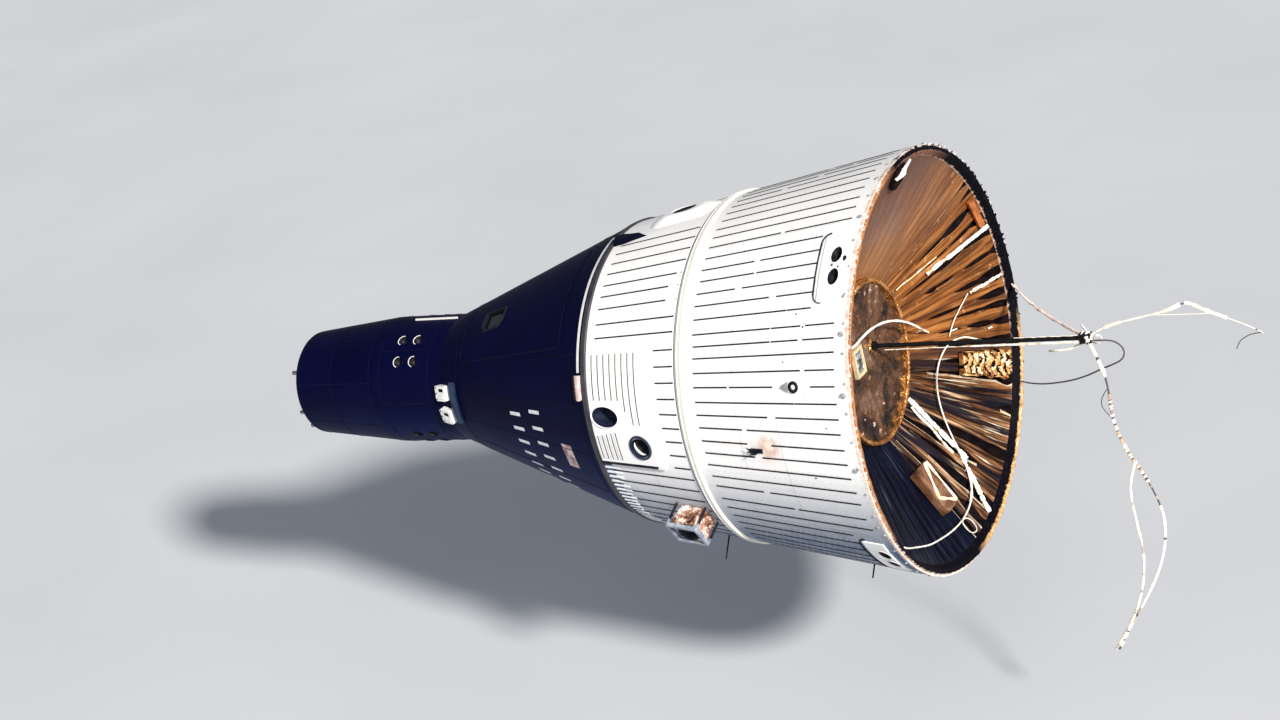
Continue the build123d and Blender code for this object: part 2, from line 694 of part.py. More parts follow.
seats, pads = [], []
for side in (1, -1):
    with BuildPart() as seat:
        with BuildSketch(Plane.XZ.offset(-side * 310 - 220)):
            with BuildLine():
                Polyline((2424.5, -520), (2424.5, 560), (2500, 560), (2500, 440), (2470, 400), (2470, -380), (2560, -440),
                         (2960, -470), (2960, -520), close=True)
            make_face()
        extrude(amount=440)
        edges = seat.edges().filter_by(Axis.Y)
        fillet(edges.sort_by(Axis.X)[-2:], 12)
    seats.append(seat.part)
    with BuildPart() as pad:
        with BuildSketch(Plane.XZ.offset(-side * 310 - 190)):
            with BuildLine():
                Polyline((2471, -372), (2471, 396), (2530, 396), (2536, -300), (2590, -378), (2940, -404),
                         (2940, -466), (2564, -437), close=True)
            make_face()
        extrude(amount=380)
    pads.append(pad.part)
group(seats, "seats")
group(pads, "seat_pads")

with BuildPart() as instrument_panel:
    with BuildSketch(Plane.YZ.offset(3290)):
        Circle(inner_r(3290) - 1)
        with Locations((0, 640)):
            Rectangle(1600, 800, mode=Mode.SUBTRACT)
        with Locations((0, -740)):
            Rectangle(1600, 800, mode=Mode.SUBTRACT)
    extrude(amount=34, taper=CB_ANG)
save(instrument_panel.part, "instrument_panel")

with BuildPart() as console:
    with BuildSketch(Plane.XZ.offset(-66)):
        with BuildLine():
            Polyline((2424.5, -520), (3289.5, -520), (3289.5, -60), (3180, -60), (3000, -300), (2424.5, -330),
                     close=True)
        make_face()
    extrude(amount=132)
save(console.part, "centre_console")

# ---------------------------------------------------------------- nose sections
NOZZLES = [(4184.0, 60.0), (4184.0, 38.4), (4325.0, 60.0), (4325.0, 38.4)]
all_nozzles = []
for x, c in NOZZLES:
    all_nozzles += [(x, c), (x, 180 - c), (x, 180 + c), (x, 360 - c)]
with BuildPart() as rcs:
    with BuildSketch(Plane.XZ):
        with BuildLine():
            Polyline((CABIN_X1 + 0.5, CABIN_R1), (RCS_X1, CABIN_R1), (RCS_X1, CABIN_R1 - 40),
                     (CABIN_X1 + 0.5, CABIN_R1 - 40), close=True)
        make_face()
    revolve(axis=Axis.X)
    for x, c in all_nozzles:
        with BuildSketch(on_skin(x, c, CABIN_R1, 20)):
            Circle(49)
        extrude(amount=-80, mode=Mode.SUBTRACT)
save(rcs.part, "attitude_control_section")

cups = []
for x, c in all_nozzles:
    pl = on_skin(x, c, CABIN_R1, 0)
    with BuildPart() as k:
        with BuildSketch(pl.offset(-60)):
            Circle(26)
        with BuildSketch(pl.offset(-3)):
            Circle(44)
        loft()
        with BuildSketch(pl.offset(-5)):
            Circle(48)
        extrude(amount=9)
        with BuildSketch(pl.offset(-50)):
            Circle(20)
        with BuildSketch(pl.offset(4.5)):
            Circle(39)
        loft(mode=Mode.SUBTRACT)
    cups.append(k.part)
group(cups, "nose_thruster_nozzles")

with BuildPart() as recovery:
    with BuildSketch(Plane.XZ):
        with BuildLine():
            Polyline((RCS_X1 + 0.5, CABIN_R1), (NOSE_X1, NOSE_R1), (NOSE_X1, NOSE_R1 - 25),
                     (RCS_X1 + 0.5, CABIN_R1 - 25), close=True)
        make_face()
    revolve(axis=Axis.X)
save(recovery.part, "recovery_section")

with BuildPart() as parachutes:
    with BuildSketch(Plane.YZ.offset(RCS_X1 - 30)):
        Circle(CABIN_R1 - 40.5)
    extrude(amount=20)
    with BuildSketch(Plane.YZ.offset(RCS_X1 - 11)):
        Circle(330)
    extrude(amount=760)
save(parachutes.part, "parachute_block")

with BuildPart() as nose_cap:
    with BuildSketch(Plane.XZ):
        with BuildLine():
            l1 = Polyline((NOSE_X1 + 0.5, 0), (NOSE_X1 + 0.5, NOSE_R1))
            l2 = Polyline((NOSE_X1 + 0.5, NOSE_R1), (NOSE_X1 + 10, 400), (NOSE_X1 + 22, 388), (NOSE_X1 + 32, 362),
                          (NOSE_X1 + 40, 318), (NOSE_X1 + 48, 240), (NOSE_X1 + 53, 130), (NOSE_TIP_X, 40),
                          (NOSE_TIP_X, 0), (NOSE_X1 + 0.5, 0))
        make_face()
    revolve(axis=Axis.X)
save(nose_cap.part, "nose_cap")

fits = []
for y, z, r, h in ((302, 212, 17, 12), (352, -108, 15, 10), (258, -262, 19, 14), (-300, -212, 17, 12), (0, 0, 60, 6)):
    x = NOSE_X1 + 8
    with BuildPart() as f:
        with BuildSketch(Plane.YZ.offset(x)):
            with Locations((y, z)):
                Circle(r)
        extrude(amount=NOSE_TIP_X + h - x)
    fits.append(f.part)
with BuildPart() as nose_fittings:
    for f in fits:
        add(f)
    add(nose_cap.part, mode=Mode.SUBTRACT)
save(nose_fittings.part, "nose_fittings")

# white sensor boxes on the left shoulder and the dark ledge behind them
sensors = []
for c in (10.4, -9.4):
    pl = on_skin(3872, c, cb_r(3872), 3, CB_ANG)
    with BuildPart() as s:
        with BuildSketch(pl):
            RectangleRounded(122, 118, 14)
        extrude(amount=48)
        with BuildSketch(pl.offset(48.5)):
            with Locations((-14, 24), (-14, -26)):
                Rectangle(52, 26)
        extrude(amount=-26, mode=Mode.SUBTRACT)
    sensors.append(s.part)
group(sensors, "horizon_sensors")

with BuildPart() as ledge:
    with BuildSketch(clock_plane(-14)):
        with BuildLine():
            Polyline((3740, cb_r(3740) + 0.8), (3740, cb_r(3740) + 22), (3788, cb_r(3788) + 40),
                     (3800, cb_r(3800) + 0.8), close=True)
        make_face()
    revolve(axis=Axis.X, revolution_arc=33)
save(ledge.part, "sensor_ledge")

with BuildPart() as rail:
    with BuildSketch(on_skin(4140, 90, CABIN_R1, 0.5)):
        Rectangle(390, 14)
    extrude(amount=12)
save(rail.part, "top_rail")

# ---------------------------------------------------------------- free straps and cords
STRAP_WIDE = 26.0
TAPE_MID = 20.0
CORD_THIN = 13.0
CURL_THIN = 7.0

ARCH = [(-1106, -46, 118), (-1180, -46, 160), (-1290, -46, 200), (-1430, -46, 229), (-1580, -46, 258), (-1710, -46, 289),
        (-1826, -46, 345), (-1950, -46, 268), (-2100, -46, 206), (-2230, -46, 148), (-2322, -46, 92)]
END_CURL = [(-2312, -46, 98), (-2262, -46, 94), (-2212, -46, 80), (-2166, -46, 54), (-2136, -46, 20), (-2120, -46, -16)]
TRAIL_LONG = [(-1096, -46, 73), (-1160, -46, -100), (-1178, -46, -300), (-1162, -46, -490), (-1215, -46, -733),
              (-1343, -46, -982), (-1416, -46, -1229), (-1391, -46, -1471), (-1297, -46, -1708),
              (-1159, -46, -1937), (-1005, -46, -2158), (-902, -46, -2330)]
TRAIL_SHORT = [(-1270, -40, -856), (-1232, -30, -935), (-1206, -12, -1075), (-1222, 0, -1287), (-1236, 4, -1517),
               (-1199, 4, -1742), (-1120, 4, -1957), (-1001, 4, -2158), (-890, 4, -2310)]
DARK_LOOP = [(-1122, -30, 90), (-1205, -26, 96), (-1300, -22, 84), (-1352, -26, 18), (-1322, -46, -60),
             (-1240, -92, -112), (-1100, -190, -190), (-950, -318, -288), (-800, -462, -380), (-640, -640, -475),
             (-480, -815, -562), (-320, -980, -640), (-170, -1125, -697), (-60, -1222, -726), (-4, -1276, -736)]
RIM_TAPE = [(-1078, -80, 104), (-960, -230, 66), (-800, -430, 38), (-620, -650, 10), (-440, -880, -14),
            (-270, -1110, -34), (-120, -1320, -40), (-4, -1484, -33)]
INNER_LONG = [(178, -1136, -335), (215, -1075, -290), (262, -1000, -245), (332, -885, -246), (373, -767, -324), (384, -671, -438),
              (366, -601, -571), (328, -553, -712), (278, -519, -850), (224, -492, -977), (171, -448, -1087),
              (128, -358, -1175), (100, -223, -1236), (92, -70, -1268), (97, 89, -1272), (105, 245, -1254),
              (103, 418, -1212), (90, 590, -1160), (70, 760, -1085), (48, 920, -1010), (32, 1050, -950),
              (26, 1120, -905)]
INNER_ARC = [(554, 395, 258), (468, 373, 262), (437, 228, 305), (414, 75, 308), (397, -81, 277), (383, -234, 220),
             (378, -378, 144), (386, -520, 55), (404, -655, -32), (424, -790, -112)]

tube(ARCH, STRAP_WIDE, "strap_arch")
tube(END_CURL, CURL_THIN, "strap_end_curl")
tube(TRAIL_LONG, STRAP_WIDE, "strap_trailing_long")
tube(TRAIL_SHORT, STRAP_WIDE, "strap_trailing_short")
tube(DARK_LOOP, CORD_THIN, "strap_dark_loop")
tube(RIM_TAPE, TAPE_MID, "strap_rim_to_boom")
tube(INNER_LONG, CORD_THIN, "inner_cord_long")
tube(INNER_ARC, TAPE_MID, "inner_cord_arc")
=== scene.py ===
"""Looks of the two-seat space capsule: finishes, pleated curtain, straps, fittings, light and camera."""
import math
import random

import bpy
import numpy as np
from mathutils import Matrix, Vector, noise as mnoise


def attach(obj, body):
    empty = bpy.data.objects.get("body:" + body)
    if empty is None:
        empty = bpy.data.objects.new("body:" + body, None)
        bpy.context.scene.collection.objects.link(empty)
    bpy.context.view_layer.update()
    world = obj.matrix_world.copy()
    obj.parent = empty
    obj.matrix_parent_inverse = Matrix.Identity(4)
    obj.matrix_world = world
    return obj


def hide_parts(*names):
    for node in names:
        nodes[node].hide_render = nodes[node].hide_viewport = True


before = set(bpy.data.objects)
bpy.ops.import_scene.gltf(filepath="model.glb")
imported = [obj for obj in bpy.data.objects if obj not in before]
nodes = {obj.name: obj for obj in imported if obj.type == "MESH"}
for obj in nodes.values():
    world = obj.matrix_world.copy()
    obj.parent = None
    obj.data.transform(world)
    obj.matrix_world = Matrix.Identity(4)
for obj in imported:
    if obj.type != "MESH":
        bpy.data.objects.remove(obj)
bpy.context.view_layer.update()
ROOT, HL, HR = "spacecraft", "hatch_left_body", "hatch_right_body"
rng = random.Random(7)
npr = np.random.RandomState(11)

# ------------------------------------------------------------------ sizes, metres
AD_SLOPE = (1.524 - 1.128) / 2.240
AD_ANG = math.atan(AD_SLOPE)
CB_SLOPE = (1.140 - 0.491) / 1.700
CB_ANG = math.atan(CB_SLOPE)


def ad_r(x):
    return 1.524 - AD_SLOPE * x


def cb_r(x):
    return 1.140 - CB_SLOPE * (x - 2.240)


def rcs_r(x):
    return 0.491


def nose_r(x):
    return 0.491 + (0.405 - 0.491) * (x - 4.56) / 0.79


# ------------------------------------------------------------------ camera, first
scene = bpy.context.scene
cam_data = bpy.data.cameras.new("camera")
cam = bpy.data.objects.new("camera", cam_data)
scene.collection.objects.link(cam)
scene.camera = cam
back = Vector((-0.49020471, 0.80169917, 0.34202014))
fwd = -back
right = fwd.cross(Vector((0, 0, 1))).normalized()
upv = right.cross(fwd).normalized()
roll = math.radians(-13.829)
rx = right * math.cos(roll) + upv * math.sin(roll)
ry = upv * math.cos(roll) - right * math.sin(roll)
m = Matrix((rx, ry, back)).transposed().to_4x4()
m.translation = Vector((-7.39428662, 15.69085619, 6.69401825))
cam.matrix_world = m
cam_data.sensor_width = 36.0
cam_data.lens = 73.796
cam_data.shift_x = -0.02252
cam_data.shift_y = 0.00739
cam_data.clip_start, cam_data.clip_end = 0.1, 500.0

# ------------------------------------------------------------------ material helpers


def new_mat(name):
    mt = bpy.data.materials.new(name)
    mt.use_nodes = True
    nt = mt.node_tree
    nt.nodes.clear()
    out = nt.nodes.new("ShaderNodeOutputMaterial")
    sh = nt.nodes.new("ShaderNodeBsdfPrincipled")
    nt.links.new(sh.outputs[0], out.inputs[0])
    return mt, nt, sh


def put(nt, sock, val):
    if isinstance(val, bpy.types.NodeSocket):
        nt.links.new(val, sock)
    elif isinstance(val, (tuple, list)) and sock.type == "RGBA":
        sock.default_value = (*val[:3], 1.0)
    else:
        sock.default_value = val


def coords(nt):
    t = nt.nodes.new("ShaderNodeTexCoord")
    return t.outputs["Object"]


def sep(nt, vec):
    s = nt.nodes.new("ShaderNodeSeparateXYZ")
    nt.links.new(vec, s.inputs[0])
    return s.outputs[0], s.outputs[1], s.outputs[2]


def comb(nt, a, b, c):
    s = nt.nodes.new("ShaderNodeCombineXYZ")
    for i, v in enumerate((a, b, c)):
        put(nt, s.inputs[i], v)
    return s.outputs[0]


def mth(nt, op, a, b=None, c=None, clamp=False):
    s = nt.nodes.new("ShaderNodeMath")
    s.operation = op
    s.use_clamp = clamp
    for i, v in enumerate((a, b, c)):
        if v is not None:
            put(nt, s.inputs[i], v)
    return s.outputs[0]


def noise(nt, vec, scale, detail=3.0, rough=0.5, dist=0.0):
    s = nt.nodes.new("ShaderNodeTexNoise")
    nt.links.new(vec, s.inputs["Vector"])
    s.inputs["Scale"].default_value = scale
    s.inputs["Detail"].default_value = detail
    s.inputs["Roughness"].default_value = rough
    s.inputs["Distortion"].default_value = dist
    return s.outputs[0]


def voro(nt, vec, scale, feature="F1", smooth=None):
    s = nt.nodes.new("ShaderNodeTexVoronoi")
    s.feature = feature
    nt.links.new(vec, s.inputs["Vector"])
    s.inputs["Scale"].default_value = scale
    return s.outputs["Distance"]


def ramp(nt, fac, stops, interp="LINEAR"):
    s = nt.nodes.new("ShaderNodeValToRGB")
    s.color_ramp.interpolation = interp
    cr = s.color_ramp
    cr.elements[0].position, cr.elements[0].color = stops[0][0], (*stops[0][1], 1.0)
    cr.elements[1].position, cr.elements[1].color = stops[-1][0], (*stops[-1][1], 1.0)
    for p, col in stops[1:-1]:
        e = cr.elements.new(p)
        e.color = (*col, 1.0)
    nt.links.new(fac, s.inputs[0])
    return s.outputs[0]


def gray(nt, fac, a, b, va=0.0, vb=1.0):
    s = nt.nodes.new("ShaderNodeMapRange")
    s.inputs["From Min"].default_value = a
    s.inputs["From Max"].default_value = b
    s.inputs["To Min"].default_value = va
    s.inputs["To Max"].default_value = vb
    nt.links.new(fac, s.inputs[0])
    return s.outputs[0]


def mix(nt, fac, a, b):
    s = nt.nodes.new("ShaderNodeMix")
    s.data_type = "RGBA"
    put(nt, s.inputs[0], fac)
    put(nt, s.inputs[6], a)
    put(nt, s.inputs[7], b)
    return s.outputs[2]


def bump(nt, height, strength, dist, prev=None):
    s = nt.nodes.new("ShaderNodeBump")
    s.inputs["Strength"].default_value = strength
    s.inputs["Distance"].default_value = dist
    nt.links.new(height, s.inputs["Height"])
    if prev is not None:
        nt.links.new(prev, s.inputs["Normal"])
    return s.outputs[0]


def clock_of(nt, y, z):
    """Clock angle in turns, -0.5 to 0.5, from +Y towards +Z."""
    a = mth(nt, "ARCTAN2", z, y)
    return mth(nt, "DIVIDE", a, 2 * math.pi)


def spot(nt, vec, p, radius, soft=0.6):
    """1 near point p, falling to 0 at radius."""
    s = nt.nodes.new("ShaderNodeVectorMath")
    s.operation = "DISTANCE"
    nt.links.new(vec, s.inputs[0])
    s.inputs[1].default_value = p
    return gray(nt, s.outputs["Value"], radius, radius * (1 - soft), 0.0, 1.0)


def skin_pt(x, clock, r, lift=0.0):
    a = math.radians(clock)
    return Vector((x, (r + lift) * math.cos(a), (r + lift) * math.sin(a)))


def plain(name, c1, c2, rough=0.5, metal=0.0, scale=6.0, fine=90.0, bump_s=0.15, bump_d=0.001, spec=0.5,
          dust=None, streak=None):
    """A finish with two-tone mottling, fine grain and uneven roughness."""
    mt, nt, sh = new_mat(name)
    v = coords(nt)
    n1 = noise(nt, v, scale, 4.0, 0.6)
    n2 = noise(nt, v, fine, 3.0, 0.6)
    col = mix(nt, gray(nt, n1, 0.35, 0.65), c1, c2)
    if dust:
        col = mix(nt, gray(nt, noise(nt, v, scale * 3.1, 5.0, 0.7), 0.55, 0.75, 0.0, 0.5), col, dust)
    put(nt, sh.inputs["Base Color"], col)
    put(nt, sh.inputs["Roughness"], gray(nt, n2, 0.3, 0.7, max(0.02, rough - 0.08), min(1.0, rough + 0.1)))
    sh.inputs["Metallic"].default_value = metal
    sh.inputs["Specular IOR Level"].default_value = spec
    put(nt, sh.inputs["Normal"], bump(nt, n2, bump_s, bump_d))
    return mt


# ------------------------------------------------------------------ materials
def make_white(name, rivets=True, marks_and_painted_shade=True, base=(0.85, 0.84, 0.825)):
    mt, nt, sh = new_mat(name)
    v = coords(nt)
    x, y, z = sep(nt, v)
    ck = clock_of(nt, y, z)
    cloud = noise(nt, v, 1.6, 5.0, 0.6)
    col = mix(nt, gray(nt, cloud, 0.3, 0.7), base, (base[0] * 0.92, base[1] * 0.92, base[2] * 0.94))
    # soft grey streaks running along the body
    sv = comb(nt, mth(nt, "MULTIPLY", x, 1.3), mth(nt, "MULTIPLY", ck, 190.0), 0.0)
    st = noise(nt, sv, 1.0, 4.0, 0.65)
    col = mix(nt, gray(nt, st, 0.52, 0.80, 0.0, 0.45), col, (0.60, 0.57, 0.54))
    if marks_and_painted_shade:
        # bluish darkening towards the underside, mottled: painted shade, tinted by painted light reflected from below
        wob = noise(nt, v, 22.0, 5.0, 0.7)
        under = gray(nt, z, -0.18, -0.90, 0.0, 1.0)
        under = mth(nt, "MULTIPLY", under, gray(nt, noise(nt, v, 9.0, 5.0, 0.7), 0.32, 0.66, 0.86, 1.0), clamp=True)
        col = mix(nt, under, col, (0.062, 0.110, 0.200))
        tick = voro(nt, comb(nt, mth(nt, "MULTIPLY", x, 10.0), mth(nt, "MULTIPLY", ck, 300.0), 0.0), 1.0)
        tick = mth(nt, "MULTIPLY", gray(nt, tick, 0.20, 0.10), gray(nt, z, -0.75, -1.15), clamp=True)
        col = mix(nt, tick, col, (0.93, 0.94, 0.95))
        # tinted patches on the skin; the small near-white one at x 0.724, on the brown stain by the bracket, is a
        # painted highlight
        for (px, pc, pr, tint, power) in ((0.105, 52.0, 0.060, (0.80, 0.55, 0.46), 0.55), (0.108, 45.0, 0.070, (0.80, 0.55, 0.46), 0.60),
                                        (0.730, -0.4, 0.110, (0.42, 0.18, 0.10), 1.5), (0.724, 0.2, 0.050, (0.92, 0.80, 0.74), 2.2),
                                          (0.745, -0.6, 0.16, (0.76, 0.56, 0.44), 0.8),
                                          (0.20, 48.6, 0.14, (0.58, 0.50, 0.42), 0.8),
                                          (1.70, -40.0, 0.30, (0.40, 0.37, 0.36), 0.9),
                                          (2.16, -30.0, 0.18, (0.20, 0.23, 0.30), 0.9),
                                          (0.14, -52.0, 0.26, (0.34, 0.30, 0.28), 1.0),
                                          (0.45, -60.0, 0.40, (0.48, 0.47, 0.47), 0.8)):
            f = spot(nt, v, skin_pt(px, pc, ad_r(px)), pr, 0.85)
            f = mth(nt, "MULTIPLY", f, gray(nt, wob, 0.36, 0.62), clamp=True)
            f = mth(nt, "MULTIPLY", f, power, clamp=True)
            col = mix(nt, f, col, tint)
        # dusty brown edge next to the base ring
        e = gray(nt, x, 0.05, 0.0, 0.0, 0.75)
        e = mth(nt, "MULTIPLY", e, gray(nt, noise(nt, v, 30.0, 4.0, 0.7), 0.35, 0.65), clamp=True)
        col = mix(nt, e, col, (0.46, 0.28, 0.16))
    put(nt, sh.inputs["Base Color"], col)
    fine = noise(nt, v, 260.0, 2.0, 0.5)
    put(nt, sh.inputs["Roughness"], gray(nt, fine, 0.3, 0.7, 0.46, 0.58))
    sh.inputs["Specular IOR Level"].default_value = 0.35
    nrm = bump(nt, fine, 0.12, 0.0006)
    # shallow waviness of the thin skin between its stringers
    wv = noise(nt, comb(nt, mth(nt, "MULTIPLY", x, 6.0), mth(nt, "MULTIPLY", ck, 96.0), 0.0), 1.0, 2.0, 0.5)
    nrm = bump(nt, wv, 0.25, 0.004, nrm)
    put(nt, sh.inputs["Normal"], nrm)
    return mt


def make_shingle(name):
    mt, nt, sh = new_mat(name)
    v = coords(nt)
    x, y, z = sep(nt, v)
    ck = clock_of(nt, y, z)
    n1 = noise(nt, v, 2.2, 5.0, 0.65)
    col = mix(nt, gray(nt, n1, 0.3, 0.7), (0.0004, 0.0007, 0.0140), (0.0009, 0.0014, 0.0240))
    sv = comb(nt, mth(nt, "MULTIPLY", x, 60.0), mth(nt, "MULTIPLY", ck, 30.0), 0.0)
    s1 = noise(nt, sv, 1.0, 4.0, 0.7)
    col = mix(nt, gray(nt, s1, 0.56, 0.80, 0.0, 0.30), col, (0.0026, 0.0044, 0.0300))
    # bluer towards the bottom: painted light reflected from below
    low = gray(nt, z, -0.02, -0.80, 0.0, 0.90)
    col = mix(nt, low, col, (0.0020, 0.0160, 0.0900))
    put(nt, sh.inputs["Base Color"], col)
    fine = noise(nt, v, 180.0, 3.0, 0.6)
    put(nt, sh.inputs["Roughness"], gray(nt, fine, 0.3, 0.7, 0.44, 0.60))
    sh.inputs["Specular IOR Level"].default_value = 0.05
    # beads pressed in the shingles, running round the hull
    w = mth(nt, "SINE", mth(nt, "MULTIPLY", x, 2 * math.pi / 0.040))
    nrm = bump(nt, w, 0.22, 0.0016)
    nrm = bump(nt, fine, 0.10, 0.0005, nrm)
    put(nt, sh.inputs["Normal"], nrm)
    return mt


def near(nt, ck, c, half, soft):
    """1 within half degrees of clock angle c, falling to 0 over soft degrees more."""
    t = mth(nt, "FRACT", mth(nt, "ADD", ck, 0.5 - c / 360.0))
    t = mth(nt, "ABSOLUTE", mth(nt, "SUBTRACT", t, 0.5))
    return gray(nt, t, (half + soft) / 360.0, half / 360.0)


def make_curtain(name, dim=1.0):
    mt, nt, sh = new_mat(name)
    v = coords(nt)
    x, y, z = sep(nt, v)
    ck = clock_of(nt, y, z)
    r = mth(nt, "SQRT", mth(nt, "ADD", mth(nt, "MULTIPLY", y, y), mth(nt, "MULTIPLY", z, z)))
    # streaks run from the disc to the rim
    sv = comb(nt, mth(nt, "MULTIPLY", ck, 150.0), mth(nt, "MULTIPLY", r, 1.6), 0.0)
    s1 = noise(nt, sv, 1.0, 4.0, 0.65)
    sv2 = comb(nt, mth(nt, "MULTIPLY", ck, 420.0), mth(nt, "MULTIPLY", r, 2.5), 3.0)
    s2 = noise(nt, sv2, 1.0, 3.0, 0.6)
    cloud = noise(nt, v, 2.5, 4.0, 0.6)
    speck = noise(nt, v, 16.0, 5.0, 0.7)

    def lin(c):
        return tuple(k * dim for k in c)
    # upper left: greyish brown, soft
    mauve = ramp(nt, s1, [(0.25, lin((0.135, 0.058, 0.030))), (0.50, lin((0.235, 0.112, 0.062))), (0.75, lin((0.36, 0.205, 0.130)))])
    mauve = mix(nt, gray(nt, cloud, 0.42, 0.66, 0.0, 0.75), mauve, lin((0.185, 0.125, 0.112)))
    mauve = mix(nt, gray(nt, s2, 0.58, 0.80, 0.0, 0.4), mauve, lin((0.42, 0.29, 0.215)))
    mauve = mix(nt, gray(nt, z, 0.90, 1.34, 0.0, 0.72), mauve, lin((0.095, 0.040, 0.028)))
    # nearer the disc it turns warmer
    mauve = mix(nt, gray(nt, r, 1.05, 0.72, 0.0, 0.55), mauve, lin((0.34, 0.155, 0.058)))
    # right side: strong orange folds
    orange = ramp(nt, s1, [(0.28, lin((0.075, 0.022, 0.007))), (0.46, lin((0.20, 0.068, 0.018))), (0.60, lin((0.34, 0.130, 0.034))), (0.76, lin((0.56, 0.26, 0.085)))])
    orange = mix(nt, gray(nt, s2, 0.60, 0.80, 0.0, 0.55), orange, lin((0.86, 0.58, 0.30)))
    s4 = noise(nt, comb(nt, mth(nt, "MULTIPLY", ck, 210.0), mth(nt, "MULTIPLY", r, 2.0), 9.0), 1.0, 3.0, 0.6)
    orange = mix(nt, gray(nt, s4, 0.52, 0.60, 0.0, 0.75), orange, lin((0.040, 0.013, 0.006)))
    orange = mix(nt, gray(nt, speck, 0.60, 0.74, 0.0, 0.5), orange, lin((0.80, 0.52, 0.26)))
    # broad folds turned away from the light
    s5 = noise(nt, comb(nt, mth(nt, "MULTIPLY", ck, 84.0), mth(nt, "MULTIPLY", r, 0.9), 21.0), 1.0, 2.0, 0.5)
    orange = mix(nt, gray(nt, s5, 0.54, 0.61, 0.0, 0.60), orange, lin((0.028, 0.010, 0.007)))
    # lower right: tan ridges with dark streaks, painted whitish glints and painted shade of broad folds
    tan = ramp(nt, s1, [(0.34, lin((0.012, 0.006, 0.005))), (0.47, lin((0.085, 0.034, 0.015))), (0.57, lin((0.28, 0.125, 0.050))),
                        (0.70, lin((0.66, 0.42, 0.24)))])
    s3 = noise(nt, comb(nt, mth(nt, "MULTIPLY", ck, 250.0), mth(nt, "MULTIPLY", r, 1.3), 7.0), 1.0, 3.0, 0.6)
    tan = mix(nt, gray(nt, s3, 0.50, 0.57, 0.0, 0.88), tan, lin((0.010, 0.006, 0.006)))
    tan = mix(nt, gray(nt, s2, 0.58, 0.70, 0.0, 0.90), tan, lin((0.92, 0.78, 0.60)))
    tan = mix(nt, gray(nt, s5, 0.49, 0.55, 0.0, 0.93), tan, lin((0.006, 0.006, 0.013)))
    # lower left: near-black navy with faint grey-blue streaks; its darkness is partly painted shade
    navy = ramp(nt, s1, [(0.42, lin((0.0012, 0.0018, 0.0075))), (0.60, lin((0.0045, 0.0065, 0.020))), (0.76, lin((0.042, 0.055, 0.095)))])
    navy = mix(nt, gray(nt, s2, 0.64, 0.80, 0.0, 0.45), navy, lin((0.075, 0.090, 0.135)))
    col = mix(nt, near(nt, ck, 172.0, 24.0, 34.0), mauve, orange)
    col = mix(nt, near(nt, ck, -124.0, 30.0, 16.0), col, tan)
    wob = mth(nt, "ADD", ck, gray(nt, s1, 0.3, 0.7, -0.012, 0.012))
    col = mix(nt, near(nt, wob, -55.0, 37.0, 9.0), col, navy)
    put(nt, sh.inputs["Base Color"], col)
    fine = noise(nt, v, 70.0, 4.0, 0.6)
    put(nt, sh.inputs["Roughness"], gray(nt, fine, 0.3, 0.7, 0.30, 0.52))
    sh.inputs["Metallic"].default_value = 0.12
    sh.inputs["Specular IOR Level"].default_value = 0.07
    nrm = bump(nt, s2, 0.55, 0.006)
    nrm = bump(nt, fine, 0.30, 0.0035, nrm)
    put(nt, sh.inputs["Normal"], nrm)
    return mt


